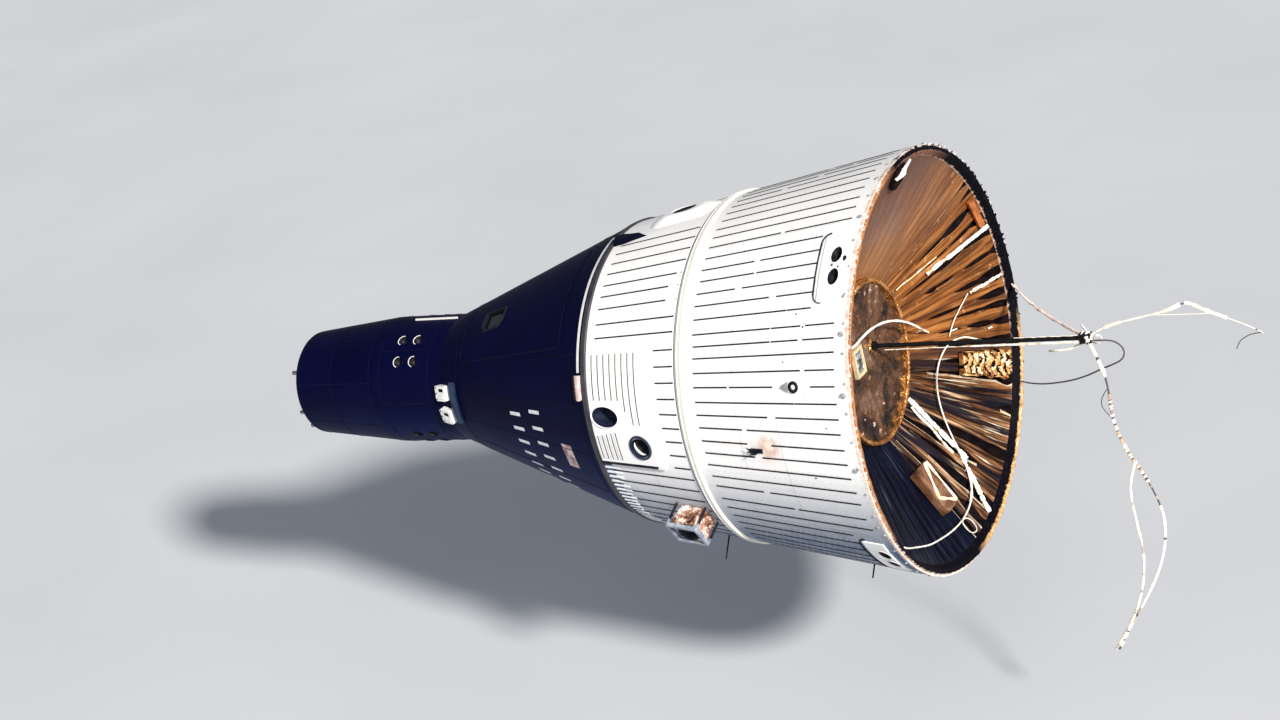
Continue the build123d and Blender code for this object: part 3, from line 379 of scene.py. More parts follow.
def make_rim(name, ring=False):
    """Base edge: what shows changes round the rim; its dark bands are painted shadow."""
    mt, nt, sh = new_mat(name)
    v = coords(nt)
    x, y, z = sep(nt, v)
    ck = clock_of(nt, y, z)
    r = mth(nt, "SQRT", mth(nt, "ADD", mth(nt, "MULTIPLY", y, y), mth(nt, "MULTIPLY", z, z)))
    fray = noise(nt, comb(nt, mth(nt, "MULTIPLY", ck, 260.0), mth(nt, "MULTIPLY", r, 30.0), x), 1.0, 4.0, 0.7)
    fine = noise(nt, v, 60.0, 4.0, 0.7)
    rw = mth(nt, "ADD", r, gray(nt, fray, 0.3, 0.7, -0.007, 0.007))
    brown = ramp(nt, fine, [(0.30, (0.11, 0.045, 0.022)), (0.55, (0.30, 0.14, 0.070)), (0.75, (0.55, 0.36, 0.24))])
    pale = ramp(nt, fray, [(0.25, (0.50, 0.30, 0.22)), (0.50, (0.72, 0.58, 0.50)), (0.70, (0.86, 0.82, 0.78))])
    # near-black of the dark bands: painted shadow of the rim's shaded inner side
    black = ramp(nt, fine, [(0.35, (0.0014, 0.0014, 0.0040)), (0.60, (0.0045, 0.0040, 0.0070)), (0.80, (0.060, 0.045, 0.042))])
    gold = ramp(nt, fray, [(0.25, (0.22, 0.10, 0.035)), (0.50, (0.58, 0.34, 0.14)), (0.72, (0.88, 0.70, 0.44))])
    # left side: brown film, then a thin orange-brown line, then a white and pink edge
    col = mix(nt, gray(nt, rw, 1.503, 1.508), brown, pale)
    line = mth(nt, "MULTIPLY", gray(nt, rw, 1.488, 1.492), gray(nt, rw, 1.504, 1.500), clamp=True)
    col = mix(nt, line, col, (0.46, 0.18, 0.055))
    # top and right: dark frayed band, painted shadow of the rim's shaded inner side, with a thin pale line inside and a
    # thin broken pale edge
    rt = mix(nt, gray(nt, rw, 1.448, 1.441), black, (0.52, 0.36, 0.28))
    # over the top the dark band is thinner, with a reddish lip inside it
    lip = ramp(nt, fine, [(0.30, (0.13, 0.050, 0.034)), (0.52, (0.30, 0.135, 0.095)), (0.75, (0.56, 0.36, 0.29))])
    lip_in = mth(nt, "MULTIPLY", gray(nt, rw, 1.482, 1.476), near(nt, ck, 84.0, 24.0, 16.0), clamp=True)
    rt = mix(nt, lip_in, rt, lip)
    edge = mth(nt, "MULTIPLY", gray(nt, rw, 1.510, 1.516), gray(nt, fray, 0.40, 0.55), clamp=True)
    edge = mth(nt, "MULTIPLY", edge, near(nt, ck, 92.0, 34.0, 20.0), clamp=True)
    rt = mix(nt, edge, rt, (0.74, 0.58, 0.54))
    col = mix(nt, near(nt, ck, 142.0, 56.0, 9.0), col, rt)
    # lower right: wide tan and gold lip
    lr = mix(nt, gray(nt, rw, 1.474, 1.482), black, gold)
    col = mix(nt, near(nt, ck, -126.0, 36.0, 10.0), col, lr)
    # lower left: dark line of painted shadow inside a white edge
    ll = mix(nt, gray(nt, rw, 1.502, 1.507), black, pale)
    col = mix(nt, near(nt, ck, -60.0, 28.0, 8.0), col, ll)
    xw = mth(nt, "ADD", x, gray(nt, fray, 0.3, 0.7, -0.009, 0.009))
    skin = ramp(nt, fine, [(0.30, (0.60, 0.57, 0.55)), (0.52, (0.82, 0.81, 0.79)), (0.75, (0.86, 0.86, 0.85))])
    # outer skin bluish and darker towards the bottom: painted shade, tinted by painted light reflected from below
    skin = mix(nt, gray(nt, z, -0.20, -0.92), skin, (0.070, 0.12, 0.21))
    outer = mth(nt, "MULTIPLY", gray(nt, xw, 0.016, 0.024), gray(nt, r, 1.500, 1.506), clamp=True)
    col = mix(nt, outer, col, skin)
    put(nt, sh.inputs["Base Color"], col)
    put(nt, sh.inputs["Roughness"], gray(nt, fine, 0.3, 0.7, 0.42, 0.66))
    sh.inputs["Metallic"].default_value = 0.0
    sh.inputs["Specular IOR Level"].default_value = 0.03
    nrm = bump(nt, fray, 0.5, 0.004)
    nrm = bump(nt, fine, 0.5, 0.003, nrm)
    put(nt, sh.inputs["Normal"], nrm)
    return mt


def make_boxes(name):
    """Foil boxes on the curtain: each has its own tint by where it sits; the box under the top opening is black,
    painted shade.
    """
    mt, nt, sh = new_mat(name)
    v = coords(nt)
    x, y, z = sep(nt, v)
    ck = clock_of(nt, y, z)
    n0 = noise(nt, v, 6.0, 4.0, 0.6, 0.8)
    c1 = voro(nt, v, 14.0)
    c2 = voro(nt, v, 40.0)
    h = mth(nt, "ADD", c1, mth(nt, "MULTIPLY", c2, 0.45))
    box = ramp(nt, n0, [(0.30, (0.075, 0.030, 0.016)), (0.50, (0.22, 0.095, 0.050)), (0.72, (0.46, 0.26, 0.15))])
    glow = ramp(nt, n0, [(0.30, (0.42, 0.19, 0.05)), (0.52, (0.80, 0.50, 0.18)), (0.74, (0.95, 0.84, 0.62))])
    red = ramp(nt, n0, [(0.30, (0.24, 0.055, 0.014)), (0.52, (0.55, 0.17, 0.045)), (0.74, (0.72, 0.36, 0.14))])
    black = ramp(nt, n0, [(0.30, (0.002, 0.002, 0.005)), (0.74, (0.012, 0.010, 0.014))])
    col = mix(nt, near(nt, ck, -155.0, 9.0, 2.0), box, glow)
    col = mix(nt, near(nt, ck, 152.0, 9.0, 2.0), col, red)
    # box under the opening at the top: black, painted shade
    col = mix(nt, near(nt, ck, 93.5, 9.0, 2.0), col, black)
    deep = gray(nt, x, 0.515, 0.520)
    mott = ramp(nt, noise(nt, v, 26.0, 4.0, 0.7), [(0.34, (0.010, 0.012, 0.022)), (0.50, (0.13, 0.15, 0.19)), (0.62, (0.66, 0.68, 0.72))])
    yy = mth(nt, "ABSOLUTE", mth(nt, "SUBTRACT", y, 0.190))
    zz = mth(nt, "ABSOLUTE", mth(nt, "SUBTRACT", z, 0.088))
    fr = mth(nt, "MAXIMUM", gray(nt, yy, 0.049, 0.052), gray(nt, zz, 0.077, 0.080), clamp=True)
    col = mix(nt, deep, col, mix(nt, fr, mott, (0.95, 0.78, 0.48)))
    put(nt, sh.inputs["Base Color"], col)
    put(nt, sh.inputs["Roughness"], gray(nt, n0, 0.3, 0.7, 0.30, 0.50))
    sh.inputs["Metallic"].default_value = 0.45
    put(nt, sh.inputs["Normal"], bump(nt, h, 0.6, 0.010))
    return mt


def make_foil(name, cols, scale=9.0, metal=0.85, rough=(0.16, 0.38), strength=0.9, dist=0.02):
    mt, nt, sh = new_mat(name)
    v = coords(nt)
    n0 = noise(nt, v, scale, 4.0, 0.6, 0.8)
    vv = nt.nodes.new("ShaderNodeVectorMath")
    vv.operation = "ADD"
    nt.links.new(v, vv.inputs[0])
    nc = nt.nodes.new("ShaderNodeTexNoise")
    nt.links.new(v, nc.inputs["Vector"])
    nc.inputs["Scale"].default_value = scale * 1.7
    sc = nt.nodes.new("ShaderNodeVectorMath")
    sc.operation = "SCALE"
    nt.links.new(nc.outputs["Color"], sc.inputs[0])
    sc.inputs["Scale"].default_value = 0.06
    nt.links.new(sc.outputs[0], vv.inputs[1])
    c1 = voro(nt, vv.outputs[0], scale * 2.2)
    c2 = voro(nt, vv.outputs[0], scale * 5.5)
    h = mth(nt, "ADD", c1, mth(nt, "MULTIPLY", c2, 0.45))
    col = ramp(nt, n0, cols)
    put(nt, sh.inputs["Base Color"], col)
    put(nt, sh.inputs["Roughness"], gray(nt, n0, 0.3, 0.7, rough[0], rough[1]))
    sh.inputs["Metallic"].default_value = metal
    put(nt, sh.inputs["Normal"], bump(nt, h, strength, dist))
    return mt


def make_tape(name, c1, c2, pitch=900.0):
    mt, nt, sh = new_mat(name)
    v = coords(nt)
    x, y, z = sep(nt, v)
    wa = mth(nt, "SINE", mth(nt, "MULTIPLY", mth(nt, "ADD", x, z), pitch))
    wb = mth(nt, "SINE", mth(nt, "MULTIPLY", mth(nt, "SUBTRACT", z, y), pitch * 1.1))
    weave = mth(nt, "MULTIPLY", wa, wb)
    n1 = noise(nt, v, 7.0, 4.0, 0.6)
    n2 = noise(nt, v, 55.0, 4.0, 0.7)
    col = mix(nt, gray(nt, n1, 0.38, 0.62), c1, c2)
    col = mix(nt, gray(nt, n2, 0.55, 0.75, 0.0, 0.55), col, (0.30, 0.24, 0.18))
    col = mix(nt, gray(nt, weave, 0.0, 1.0, 0.0, 0.15), col, (0.95, 0.93, 0.88))
    put(nt, sh.inputs["Base Color"], col)
    put(nt, sh.inputs["Roughness"], gray(nt, n2, 0.3, 0.7, 0.72, 0.9))
    sh.inputs["Sheen Weight"].default_value = 0.25
    nrm = bump(nt, weave, 0.4, 0.0012)
    nrm = bump(nt, n2, 0.35, 0.003, nrm)
    put(nt, sh.inputs["Normal"], nrm)
    return mt


def make_glass(name):
    mt, nt, sh = new_mat(name)
    v = coords(nt)
    n1 = noise(nt, v, 14.0, 3.0, 0.6)
    put(nt, sh.inputs["Base Color"], mix(nt, gray(nt, n1, 0.35, 0.65), (0.045, 0.052, 0.066), (0.030, 0.036, 0.046)))
    put(nt, sh.inputs["Roughness"], gray(nt, n1, 0.3, 0.7, 0.02, 0.10))
    sh.inputs["Transmission Weight"].default_value = 0.9
    sh.inputs["IOR"].default_value = 1.46
    return mt


WHITE = make_white("white_thermal_paint")
WHITE_SMOOTH = make_white("white_fairing_paint", rivets=False, marks_and_painted_shade=False)
WHITE_RIDGE = plain("ridge_ivory_paint", (0.78, 0.75, 0.66), (0.68, 0.65, 0.57), 0.5, 0.0, 5.0, 120.0, 0.15, 0.001, 0.35,
                    dust=(0.50, 0.44, 0.36))
SHINGLE = make_shingle("blue_black_shingle")
LINE = plain("dark_line_gap", (0.005, 0.005, 0.010), (0.030, 0.027, 0.032), 0.8, 0.0, 20.0, 200.0, 0.1, 0.0005, 0.05)
# base ring and gathered film edge: their dark bands are painted shadow
RING = make_rim("weathered_base_ring_with_painted_shade")
HEM = make_rim("gathered_film_edge")
CURTAIN = make_curtain("gold_pleated_film")
# near-black film in pleat gaps and for other dark bits: painted shadow
GAP = plain("pleat_shadow_film", (0.0015, 0.0012, 0.0030), (0.0100, 0.0050, 0.0045), 0.7, 0.0, 14.0, 90.0, 0.3, 0.003, 0.04,
            dust=(0.030, 0.012, 0.006))
# bright strips along pleat gap edges: painted highlight
GLINT = plain("pleat_edge_glint", (0.62, 0.36, 0.16), (0.96, 0.84, 0.66), 0.35, 0.3, 22.0, 90.0, 0.3, 0.002, 0.4,
              dust=(0.20, 0.08, 0.03))
DISC = make_foil("brown_disc_foil", [(0.32, (0.008, 0.005, 0.006)), (0.45, (0.050, 0.024, 0.015)),
                                     (0.56, (0.15, 0.066, 0.030)), (0.72, (0.25, 0.165, 0.130))], 3.4, 0.40,
                 (0.26, 0.46), 1.0, 0.034)
GOLD = make_foil("gold_foil_edge", [(0.30, (0.48, 0.20, 0.05)), (0.52, (0.95, 0.56, 0.17)), (0.75, (1.0, 0.84, 0.55))],
                 11.0, 0.9, (0.16, 0.35), 0.8, 0.012)
# near-white stops are painted highlights on the crumpled foil
COPPER = make_foil("copper_wrap_foil", [(0.30, (0.004, 0.006, 0.018)), (0.43, (0.10, 0.042, 0.030)),
                                        (0.52, (0.48, 0.26, 0.17)), (0.60, (0.80, 0.66, 0.60)), (0.70, (0.95, 0.93, 0.92))], 7.0, 0.30,
                   (0.24, 0.44), 0.8, 0.018)
BROWN_BOX = make_boxes("curtain_box_foil")
NOZZLE = plain("nozzle_dark_metal", (0.0040, 0.0045, 0.0090), (0.018, 0.017, 0.022), 0.5, 0.1, 25.0, 160.0, 0.2, 0.001, 0.12)
NOZZLE_GREY = plain("nozzle_slate_inner", (0.0060, 0.0100, 0.0240), (0.0140, 0.0200, 0.0400), 0.7, 0.0, 18.0, 130.0, 0.2, 0.001, 0.08)
NOZZLE_WHITE = plain("nozzle_white_liner", (0.82, 0.81, 0.78), (0.60, 0.58, 0.55), 0.5, 0.0, 25.0, 160.0, 0.2, 0.001, 0.4)
BAND = plain("heat_tinted_band", (0.014, 0.016, 0.028), (0.040, 0.037, 0.044), 0.6, 0.0, 8.0, 140.0, 0.2, 0.001, 0.5,
             dust=(0.07, 0.07, 0.078))
def make_block(name):
    mt, nt, sh = new_mat(name)
    v = coords(nt)
    x, y, z = sep(nt, v)
    n1 = noise(nt, v, 20.0, 4.0, 0.65)
    n2 = noise(nt, v, 120.0, 3.0, 0.6)
    xs = [q.co.x for q in nodes["umbilical_block"].data.vertices]
    mid = min(xs) + 0.30 * (max(xs) - min(xs))
    edge = mth(nt, "ADD", x, gray(nt, n1, 0.3, 0.7, -0.010, 0.010))
    dk = mix(nt, gray(nt, n1, 0.35, 0.65), (0.034, 0.012, 0.016), (0.115, 0.040, 0.036))
    dk = mix(nt, gray(nt, edge, mid + 0.010, max(xs)), dk, (0.012, 0.007, 0.016))
    pk = mix(nt, gray(nt, n1, 0.35, 0.65), (0.62, 0.44, 0.40), (0.86, 0.76, 0.73))
    put(nt, sh.inputs["Base Color"], mix(nt, gray(nt, edge, mid + 0.006, mid - 0.006), dk, pk))
    put(nt, sh.inputs["Roughness"], gray(nt, n2, 0.3, 0.7, 0.45, 0.65))
    put(nt, sh.inputs["Normal"], bump(nt, n2, 0.2, 0.001))
    sh.inputs["Specular IOR Level"].default_value = 0.25
    return mt


BLOCK = make_block("baked_two_tone_block")
BLACK = plain("matt_black_tube", (0.003, 0.003, 0.004), (0.010, 0.009, 0.010), 0.6, 0.0, 14.0, 190.0, 0.25, 0.001, 0.12,
              dust=(0.030, 0.022, 0.018))
NOSE = plain("nose_dark_fibre", (0.0008, 0.0012, 0.0070), (0.0022, 0.0030, 0.0130), 0.5, 0.0, 5.0, 150.0, 0.25, 0.001, 0.06)
LEDGE = plain("slate_ledge_metal", (0.003, 0.011, 0.040), (0.010, 0.026, 0.070), 0.5, 0.1, 12.0, 150.0, 0.2, 0.001, 0.5)
METAL = plain("satin_antenna_metal", (0.22, 0.20, 0.18), (0.34, 0.31, 0.28), 0.35, 0.9, 20.0, 200.0, 0.2, 0.0006, 0.5)
SENSOR = plain("sensor_white_enamel", (0.84, 0.83, 0.80), (0.72, 0.72, 0.70), 0.35, 0.0, 16.0, 170.0, 0.15, 0.0006, 0.5,
               dust=(0.45, 0.43, 0.42))
GREEN = plain("inner_primer_green", (0.21, 0.25, 0.19), (0.27, 0.30, 0.24), 0.6, 0.2, 4.0, 120.0, 0.2, 0.001, 0.4)
EQUIP = plain("equipment_bare_alloy", (0.34, 0.34, 0.33), (0.46, 0.46, 0.44), 0.4, 0.8, 5.0, 120.0, 0.2, 0.001, 0.5)
SHIELD = plain("ablative_cast", (0.25, 0.17, 0.11), (0.34, 0.25, 0.17), 0.75, 0.0, 6.0, 90.0, 0.4, 0.003, 0.3)
SEAT = plain("seat_grey_paint", (0.20, 0.21, 0.20), (0.27, 0.28, 0.26), 0.5, 0.1, 8.0, 140.0, 0.25, 0.001, 0.4)
PAD = make_tape("seat_pad_weave", (0.10, 0.11, 0.085), (0.16, 0.165, 0.13), 1400.0)
PANEL = plain("panel_crackle_grey", (0.10, 0.11, 0.12), (0.15, 0.16, 0.17), 0.65, 0.1, 12.0, 420.0, 0.5, 0.001, 0.4)
TAPE = make_tape("cream_woven_tape", (0.76, 0.70, 0.58), (0.93, 0.90, 0.84))
TAPE_TAN = make_tape("tan_woven_tape", (0.42, 0.27, 0.17), (0.60, 0.44, 0.32))
TAPE_DARK = make_tape("dark_twisted_cord", (0.012, 0.011, 0.018), (0.050, 0.043, 0.050))
GLASS = make_glass("window_clear")
HOOP = make_foil("orange_hoop_foil", [(0.30, (0.16, 0.055, 0.018)), (0.50, (0.48, 0.20, 0.055)), (0.75, (0.88, 0.55, 0.24))],
                 13.0, 0.55, (0.24, 0.42), 0.8, 0.010)
ZIG = make_foil("bright_zigzag_foil", [(0.30, (0.30, 0.13, 0.04)), (0.44, (0.62, 0.38, 0.15)), (0.56, (0.86, 0.68, 0.42)),
                                       (0.75, (0.92, 0.84, 0.70))], 10.0, 0.3, (0.3, 0.5), 0.8, 0.012)
GLINT2 = plain("box_edge_pale_gold", (0.88, 0.66, 0.40), (0.96, 0.88, 0.74), 0.4, 0.2, 20.0, 90.0, 0.2, 0.001, 0.4)
TAPE_PINK = make_tape("pink_tan_tape", (0.74, 0.52, 0.42), (0.90, 0.78, 0.70))
TAPE_GOLD = make_tape("golden_worn_tape", (0.66, 0.42, 0.18), (0.82, 0.62, 0.36))
SLOT_DARK = plain("opening_edge_slate", (0.010, 0.018, 0.040), (0.040, 0.055, 0.085), 0.7, 0.0, 20.0, 160.0, 0.1, 0.0005, 0.08)
SLOT_BLUE = plain("slot_shade_blue", (0.020, 0.040, 0.090), (0.060, 0.095, 0.160), 0.7, 0.0, 20.0, 160.0, 0.1, 0.0005, 0.1)
TAIL = plain("cone_tail_grey", (0.26, 0.26, 0.28), (0.46, 0.45, 0.44), 0.5, 0.1, 24.0, 160.0, 0.2, 0.0006, 0.3)
GREYHEAD = plain("fastener_head_grey", (0.42, 0.41, 0.40), (0.60, 0.58, 0.56), 0.45, 0.2, 30.0, 200.0, 0.1, 0.0005, 0.4)
FRAME_DARK = plain("window_frame_dark", (0.0008, 0.0012, 0.0070), (0.0024, 0.0034, 0.0130), 0.7, 0.0, 16.0, 150.0, 0.2, 0.001, 0.3)
# white of the front edge tabs: painted highlight
TOOTH = plain("edge_tab_painted_highlight", (0.86, 0.86, 0.86), (0.66, 0.69, 0.74), 0.45, 0.0, 18.0, 150.0, 0.2, 0.001, 0.4)
def make_guard(name):
    """Frame round the lower thrusters: dark posts, pale outer tray."""
    mt, nt, sh = new_mat(name)
    v = coords(nt)
    x, y, z = sep(nt, v)
    n1 = noise(nt, v, 14.0, 4.0, 0.6)
    n2 = noise(nt, v, 150.0, 3.0, 0.6)
    r = mth(nt, "SQRT", mth(nt, "ADD", mth(nt, "MULTIPLY", y, y), mth(nt, "MULTIPLY", z, z)))
    off = mth(nt, "ADD", r, mth(nt, "MULTIPLY", x, 0.176786))
    pale_ = mix(nt, gray(nt, n1, 0.35, 0.65), (0.12, 0.16, 0.24), (0.42, 0.45, 0.50))
    dark_ = mix(nt, gray(nt, n1, 0.35, 0.65), (0.004, 0.006, 0.016), (0.030, 0.028, 0.036))
    put(nt, sh.inputs["Base Color"], mix(nt, gray(nt, off, 1.660, 1.668), dark_, pale_))
    put(nt, sh.inputs["Roughness"], gray(nt, n2, 0.3, 0.7, 0.42, 0.6))
    sh.inputs["Metallic"].default_value = 0.1
    sh.inputs["Specular IOR Level"].default_value = 0.2
    put(nt, sh.inputs["Normal"], bump(nt, n2, 0.2, 0.001))
    return mt


GUARD = make_guard("guard_two_tone_metal")
MARK = plain("white_marking_paint", (0.72, 0.73, 0.76), (0.55, 0.56, 0.62), 0.55, 0.0, 30.0, 200.0, 0.1, 0.0005, 0.3,
             dust=(0.10, 0.11, 0.16))
DIAL = plain("dial_black_face", (0.012, 0.012, 0.013), (0.03, 0.03, 0.03), 0.3, 0.0, 30.0, 200.0, 0.1, 0.0005, 0.5)
RIM_DARK = plain("rim_dark_gap", (0.010, 0.007, 0.006), (0.030, 0.018, 0.012), 0.7, 0.1, 18.0, 90.0, 0.5, 0.004, 0.2)

CAD_MATS = {
    "aft_ring": RING, "curtain_disc": GOLD, "equipment_section_skin": WHITE, "separation_ridge": WHITE_RIDGE, "retro_section_skin": WHITE,
    "thruster_fairing_left": WHITE_SMOOTH, "thruster_fairing_right": WHITE_SMOOTH,
    "thruster_fairings_top_bottom": WHITE_SMOOTH, "adapter_thruster_nozzles": NOZZLE_GREY,
    "attitude_thruster_panels": WHITE_SMOOTH, "attitude_thruster_nozzles": NOZZLE,
    "thruster_guard_frames": GUARD, "umbilical_block": BLOCK, "umbilical_fairing_top": NOSE,
    "teardrop_port": WHITE_SMOOTH, "side_bracket": NOZZLE, "whip_antennas": BLACK, "curtain_boxes": BROWN_BOX,
    "equipment_block": EQUIP, "retro_motor_block": EQUIP, "aft_boom": BLACK,
    "boom_tip_clamp": BLACK, "joint_band": BAND, "heat_shield": SHIELD, "cabin_shell_aft": SHINGLE,
    "cabin_shell_forward": SHINGLE, "cabin_panel_right": SHINGLE, "cabin_panel_left": SHINGLE,
    "cabin_spine": SHINGLE, "hatch_left": SHINGLE, "hatch_right": SHINGLE, "window_glass_left": GLASS,
    "window_glass_right": GLASS, "cabin_aft_bulkhead": GREEN, "cabin_forward_bulkhead": GREEN, "seats": SEAT,
    "instrument_panel": PANEL, "centre_console": PANEL, "attitude_control_section": SHINGLE,
    "recovery_section": SHINGLE, "parachute_block": EQUIP, "nose_cap": NOSE, "nose_fittings": METAL,
    "horizon_sensors": SENSOR, "sensor_ledge": LEDGE, "top_rail": SENSOR,
}
for nname, mt in CAD_MATS.items():
    o = nodes[nname]
    o.data.materials.clear()
    o.data.materials.append(mt)


# ------------------------------------------------------------------ mesh helpers
def make_obj(name, verts, faces, mt, body=ROOT, smooth=True, face_mat=None):
    me = bpy.data.meshes.new(name)
    me.from_pydata([tuple(v) for v in verts], [], faces)
    mats = mt if isinstance(mt, (list, tuple)) else [mt]
    for q in mats:
        me.materials.append(q)
    if face_mat is not None:
        me.polygons.foreach_set("material_index", face_mat)
    if smooth:
        me.polygons.foreach_set("use_smooth", [True] * len(me.polygons))
    me.validate()
    me.update()
    ob = bpy.data.objects.new(name, me)
    scene.collection.objects.link(ob)
    if body:
        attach(ob, body)
    return ob


class Batch:
    """Collects many small slabs laid on a cone of radius rf(x)."""

    def __init__(self):
        self.v, self.f = [], []

    def slab(self, x0, x1, c0, c1, rf, lift, height, nx=1, nc=1, taper=0.0):
        base = len(self.v)
        for k in (0, 1):
            h = lift + (height if k else 0.0)
            sh = taper if k else 0.0
            for i in range(nx + 1):
                x = x0 + (x1 - x0) * i / nx
                x += sh * (1 - 2 * i / nx)
                for j in range(nc + 1):
                    c = math.radians(c0 + (c1 - c0) * j / nc)
                    r = rf(x) + h
                    self.v.append((x, r * math.cos(c), r * math.sin(c)))
        n = (nx + 1) * (nc + 1)

        def idx(k, i, j):
            return base + k * n + i * (nc + 1) + j
        for i in range(nx):
            for j in range(nc):
                self.f.append((idx(1, i, j), idx(1, i + 1, j), idx(1, i + 1, j + 1), idx(1, i, j + 1)))
                self.f.append((idx(0, i, j), idx(0, i, j + 1), idx(0, i + 1, j + 1), idx(0, i + 1, j)))
        for i in range(nx):
            self.f.append((idx(0, i, 0), idx(0, i + 1, 0), idx(1, i + 1, 0), idx(1, i, 0)))
            self.f.append((idx(0, i, nc), idx(1, i, nc), idx(1, i + 1, nc), idx(0, i + 1, nc)))
        for j in range(nc):
            self.f.append((idx(0, 0, j), idx(1, 0, j), idx(1, 0, j + 1), idx(0, 0, j + 1)))
            self.f.append((idx(0, nx, j), idx(0, nx, j + 1), idx(1, nx, j + 1), idx(1, nx, j)))

    def line(self, x0, x1, c, w, rf, lift=0.0012, height=0.0018):
        """A thin strip along the body, w metres wide."""
        rm = rf((x0 + x1) / 2)
        dc = math.degrees(w / 2 / rm)
        self.slab(x0, x1, c - dc, c + dc, rf, lift, height)

    def arc(self, x, w, c0, c1, rf, lift=0.0012, height=0.0018, step=1.5):
        """A thin strip round the body, w metres wide."""
        n = max(1, int(abs(c1 - c0) / step))
        self.slab(x - w / 2, x + w / 2, c0, c1, rf, lift, height, 1, n)

    def build(self, name, mt, body=ROOT, smooth=False, slot=None):
        return make_obj(name, self.v, self.f, mt, body, smooth)


def lathe(profile, origin, axis, xdir, seg=32, a0=0.0, a1=360.0):
    """Profile (radius, height) turned about an axis; returns verts, faces."""
    axis = Vector(axis).normalized()
    xd = (Vector(xdir) - axis * Vector(xdir).dot(axis)).normalized()
    yd = axis.cross(xd)
    o = Vector(origin)
    full = abs(a1 - a0) >= 359.9
    cols = seg if full else seg + 1
    vs, fs = [], []
    for k in range(cols):
        a = math.radians(a0 + (a1 - a0) * k / seg)
        d = xd * math.cos(a) + yd * math.sin(a)
        for r, h in profile:
            vs.append(tuple(o + d * r + axis * h))
    np_ = len(profile)
    for k in range(seg):
        k2 = (k + 1) % cols
        for i in range(np_ - 1):
            fs.append((k * np_ + i, k2 * np_ + i, k2 * np_ + i + 1, k * np_ + i + 1))
    return vs, fs


def join(parts):
    vs, fs = [], []
    for v, f in parts:
        b = len(vs)
        vs += list(v)
        fs += [tuple(i + b for i in q) for q in f]
    return vs, fs


def hull_axes(x, c, slope=0.0):
    a = math.radians(c)
    n = Vector((math.sin(slope), math.cos(slope) * math.cos(a), math.cos(slope) * math.sin(a)))
    xd = Vector((math.cos(slope), -math.sin(slope) * math.cos(a), -math.sin(slope) * math.sin(a)))
    return n, xd, n.cross(xd)


# ------------------------------------------------------------------ free straps and cords
def nurbs(name, pts, mt, width, thick=None, tilt=None, body=ROOT):
    """A cord's curve; the route points are its control points."""
    cu = bpy.data.curves.new(name, "CURVE")
    cu.dimensions = "3D"
    sp = cu.splines.new("NURBS")
    sp.points.add(len(pts) - 1)
    for i, p in enumerate(pts):
        sp.points[i].co = (p[0], p[1], p[2], 1.0)
        if tilt:
            sp.points[i].tilt = tilt[i % len(tilt)]
    sp.order_u = 3
    sp.use_endpoint_u = True
    sp.resolution_u = 24
    cu.resolution_u = 24
    if thick:
        cu.extrude = width / 2 - thick / 2
        cu.bevel_depth = thick / 2
        cu.bevel_resolution = 2
    elif width:
        cu.bevel_depth = width / 2
        cu.bevel_resolution = 4
    cu.use_fill_caps = True
    cu.twist_smooth = 4.0
    if mt:
        cu.materials.append(mt)
    ob = bpy.data.objects.new(name, cu)
    scene.collection.objects.link(ob)
    if body:
        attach(ob, body)
    return ob


def follow(name, pts):
    """Points along the smooth line of a route."""
    ob = nurbs(name + "_line", pts, None, 0.0, body=None)
    me = bpy.data.meshes.new_from_object(ob)
    P = [Vector(q.co) for q in me.vertices]
    cu = ob.data
    bpy.data.objects.remove(ob)
    bpy.data.curves.remove(cu)
    bpy.data.meshes.remove(me)
    return P


def ribbon(name, P, width, thick, seed, mats, state, twist=9.0, wob=1.3, body=ROOT, raw=False, lim=None):
    """Creased, twisted tape laid along the points P. state(u) gives (share of the width, material number)."""
    n = len(P)
    lim = lim or 0.65 * width + 0.0014
    S = [0.0]
    for a, b in zip(P[:-1], P[1:]):
        S.append(S[-1] + (b - a).length)
    L = S[-1]
    side = None
    vs, fs, fm = [], [], []
    M = 10
    for i, p in enumerate(P):
        d = (P[min(i + 1, n - 1)] - P[max(i - 1, 0)]).normalized()
        if side is None:
            side = d.cross(Vector((-0.49, 0.80, 0.34))).normalized()
        side = (side - d * side.dot(d)).normalized()
        up = d.cross(side).normalized()
        q = S[i]
        share, m = state(q / L)
        n1 = mnoise.noise(Vector((q * 9.0, seed, 0.0)))
        n2 = mnoise.noise(Vector((q * 38.0, seed + 5.0, 0.0)))
        n3 = mnoise.noise(Vector((q * 90.0, seed + 9.0, 0.0)))
        phi = twist * q + wob * n1 * 2.0
        a = width / 2 * share * (1.0 + 0.20 * n2 + 0.12 * n3)
        b = thick / 2 * (0.75 + 0.25 / max(share, 0.4)) * (1.0 + 0.5 * n3) * min(1.0, 0.35 + share * 1.2)
        fold = 0.30 * a * n2 + 0.20 * a * n1
        for k in range(M):
            t = 2 * math.pi * k / M
            u, w = a * math.cos(t), b * math.sin(t) * (1.0 if abs(math.cos(t)) < 0.9 else 0.7)
            w += fold * (math.cos(t) ** 2 - 0.35)
            far = math.hypot(u, w)
            if far > lim:
                u, w = u * lim / far, w * lim / far
            c, sn = math.cos(phi), math.sin(phi)
            vs.append(tuple(p + side * (u * c - w * sn) + up * (u * sn + w * c)))
        if i < n - 1:
            for k in range(M):
                k2 = (k + 1) % M
                fs.append((i * M + k, i * M + k2, (i + 1) * M + k2, (i + 1) * M + k))
                fm.append(m)
    fs.append(tuple(range(M))[::-1])
    fs.append(tuple((n - 1) * M + k for k in range(M)))
    fm += [0, 0]
    if raw:
        return vs, fs, fm
    return make_obj(name, vs, fs, mats, body=body, face_mat=fm)


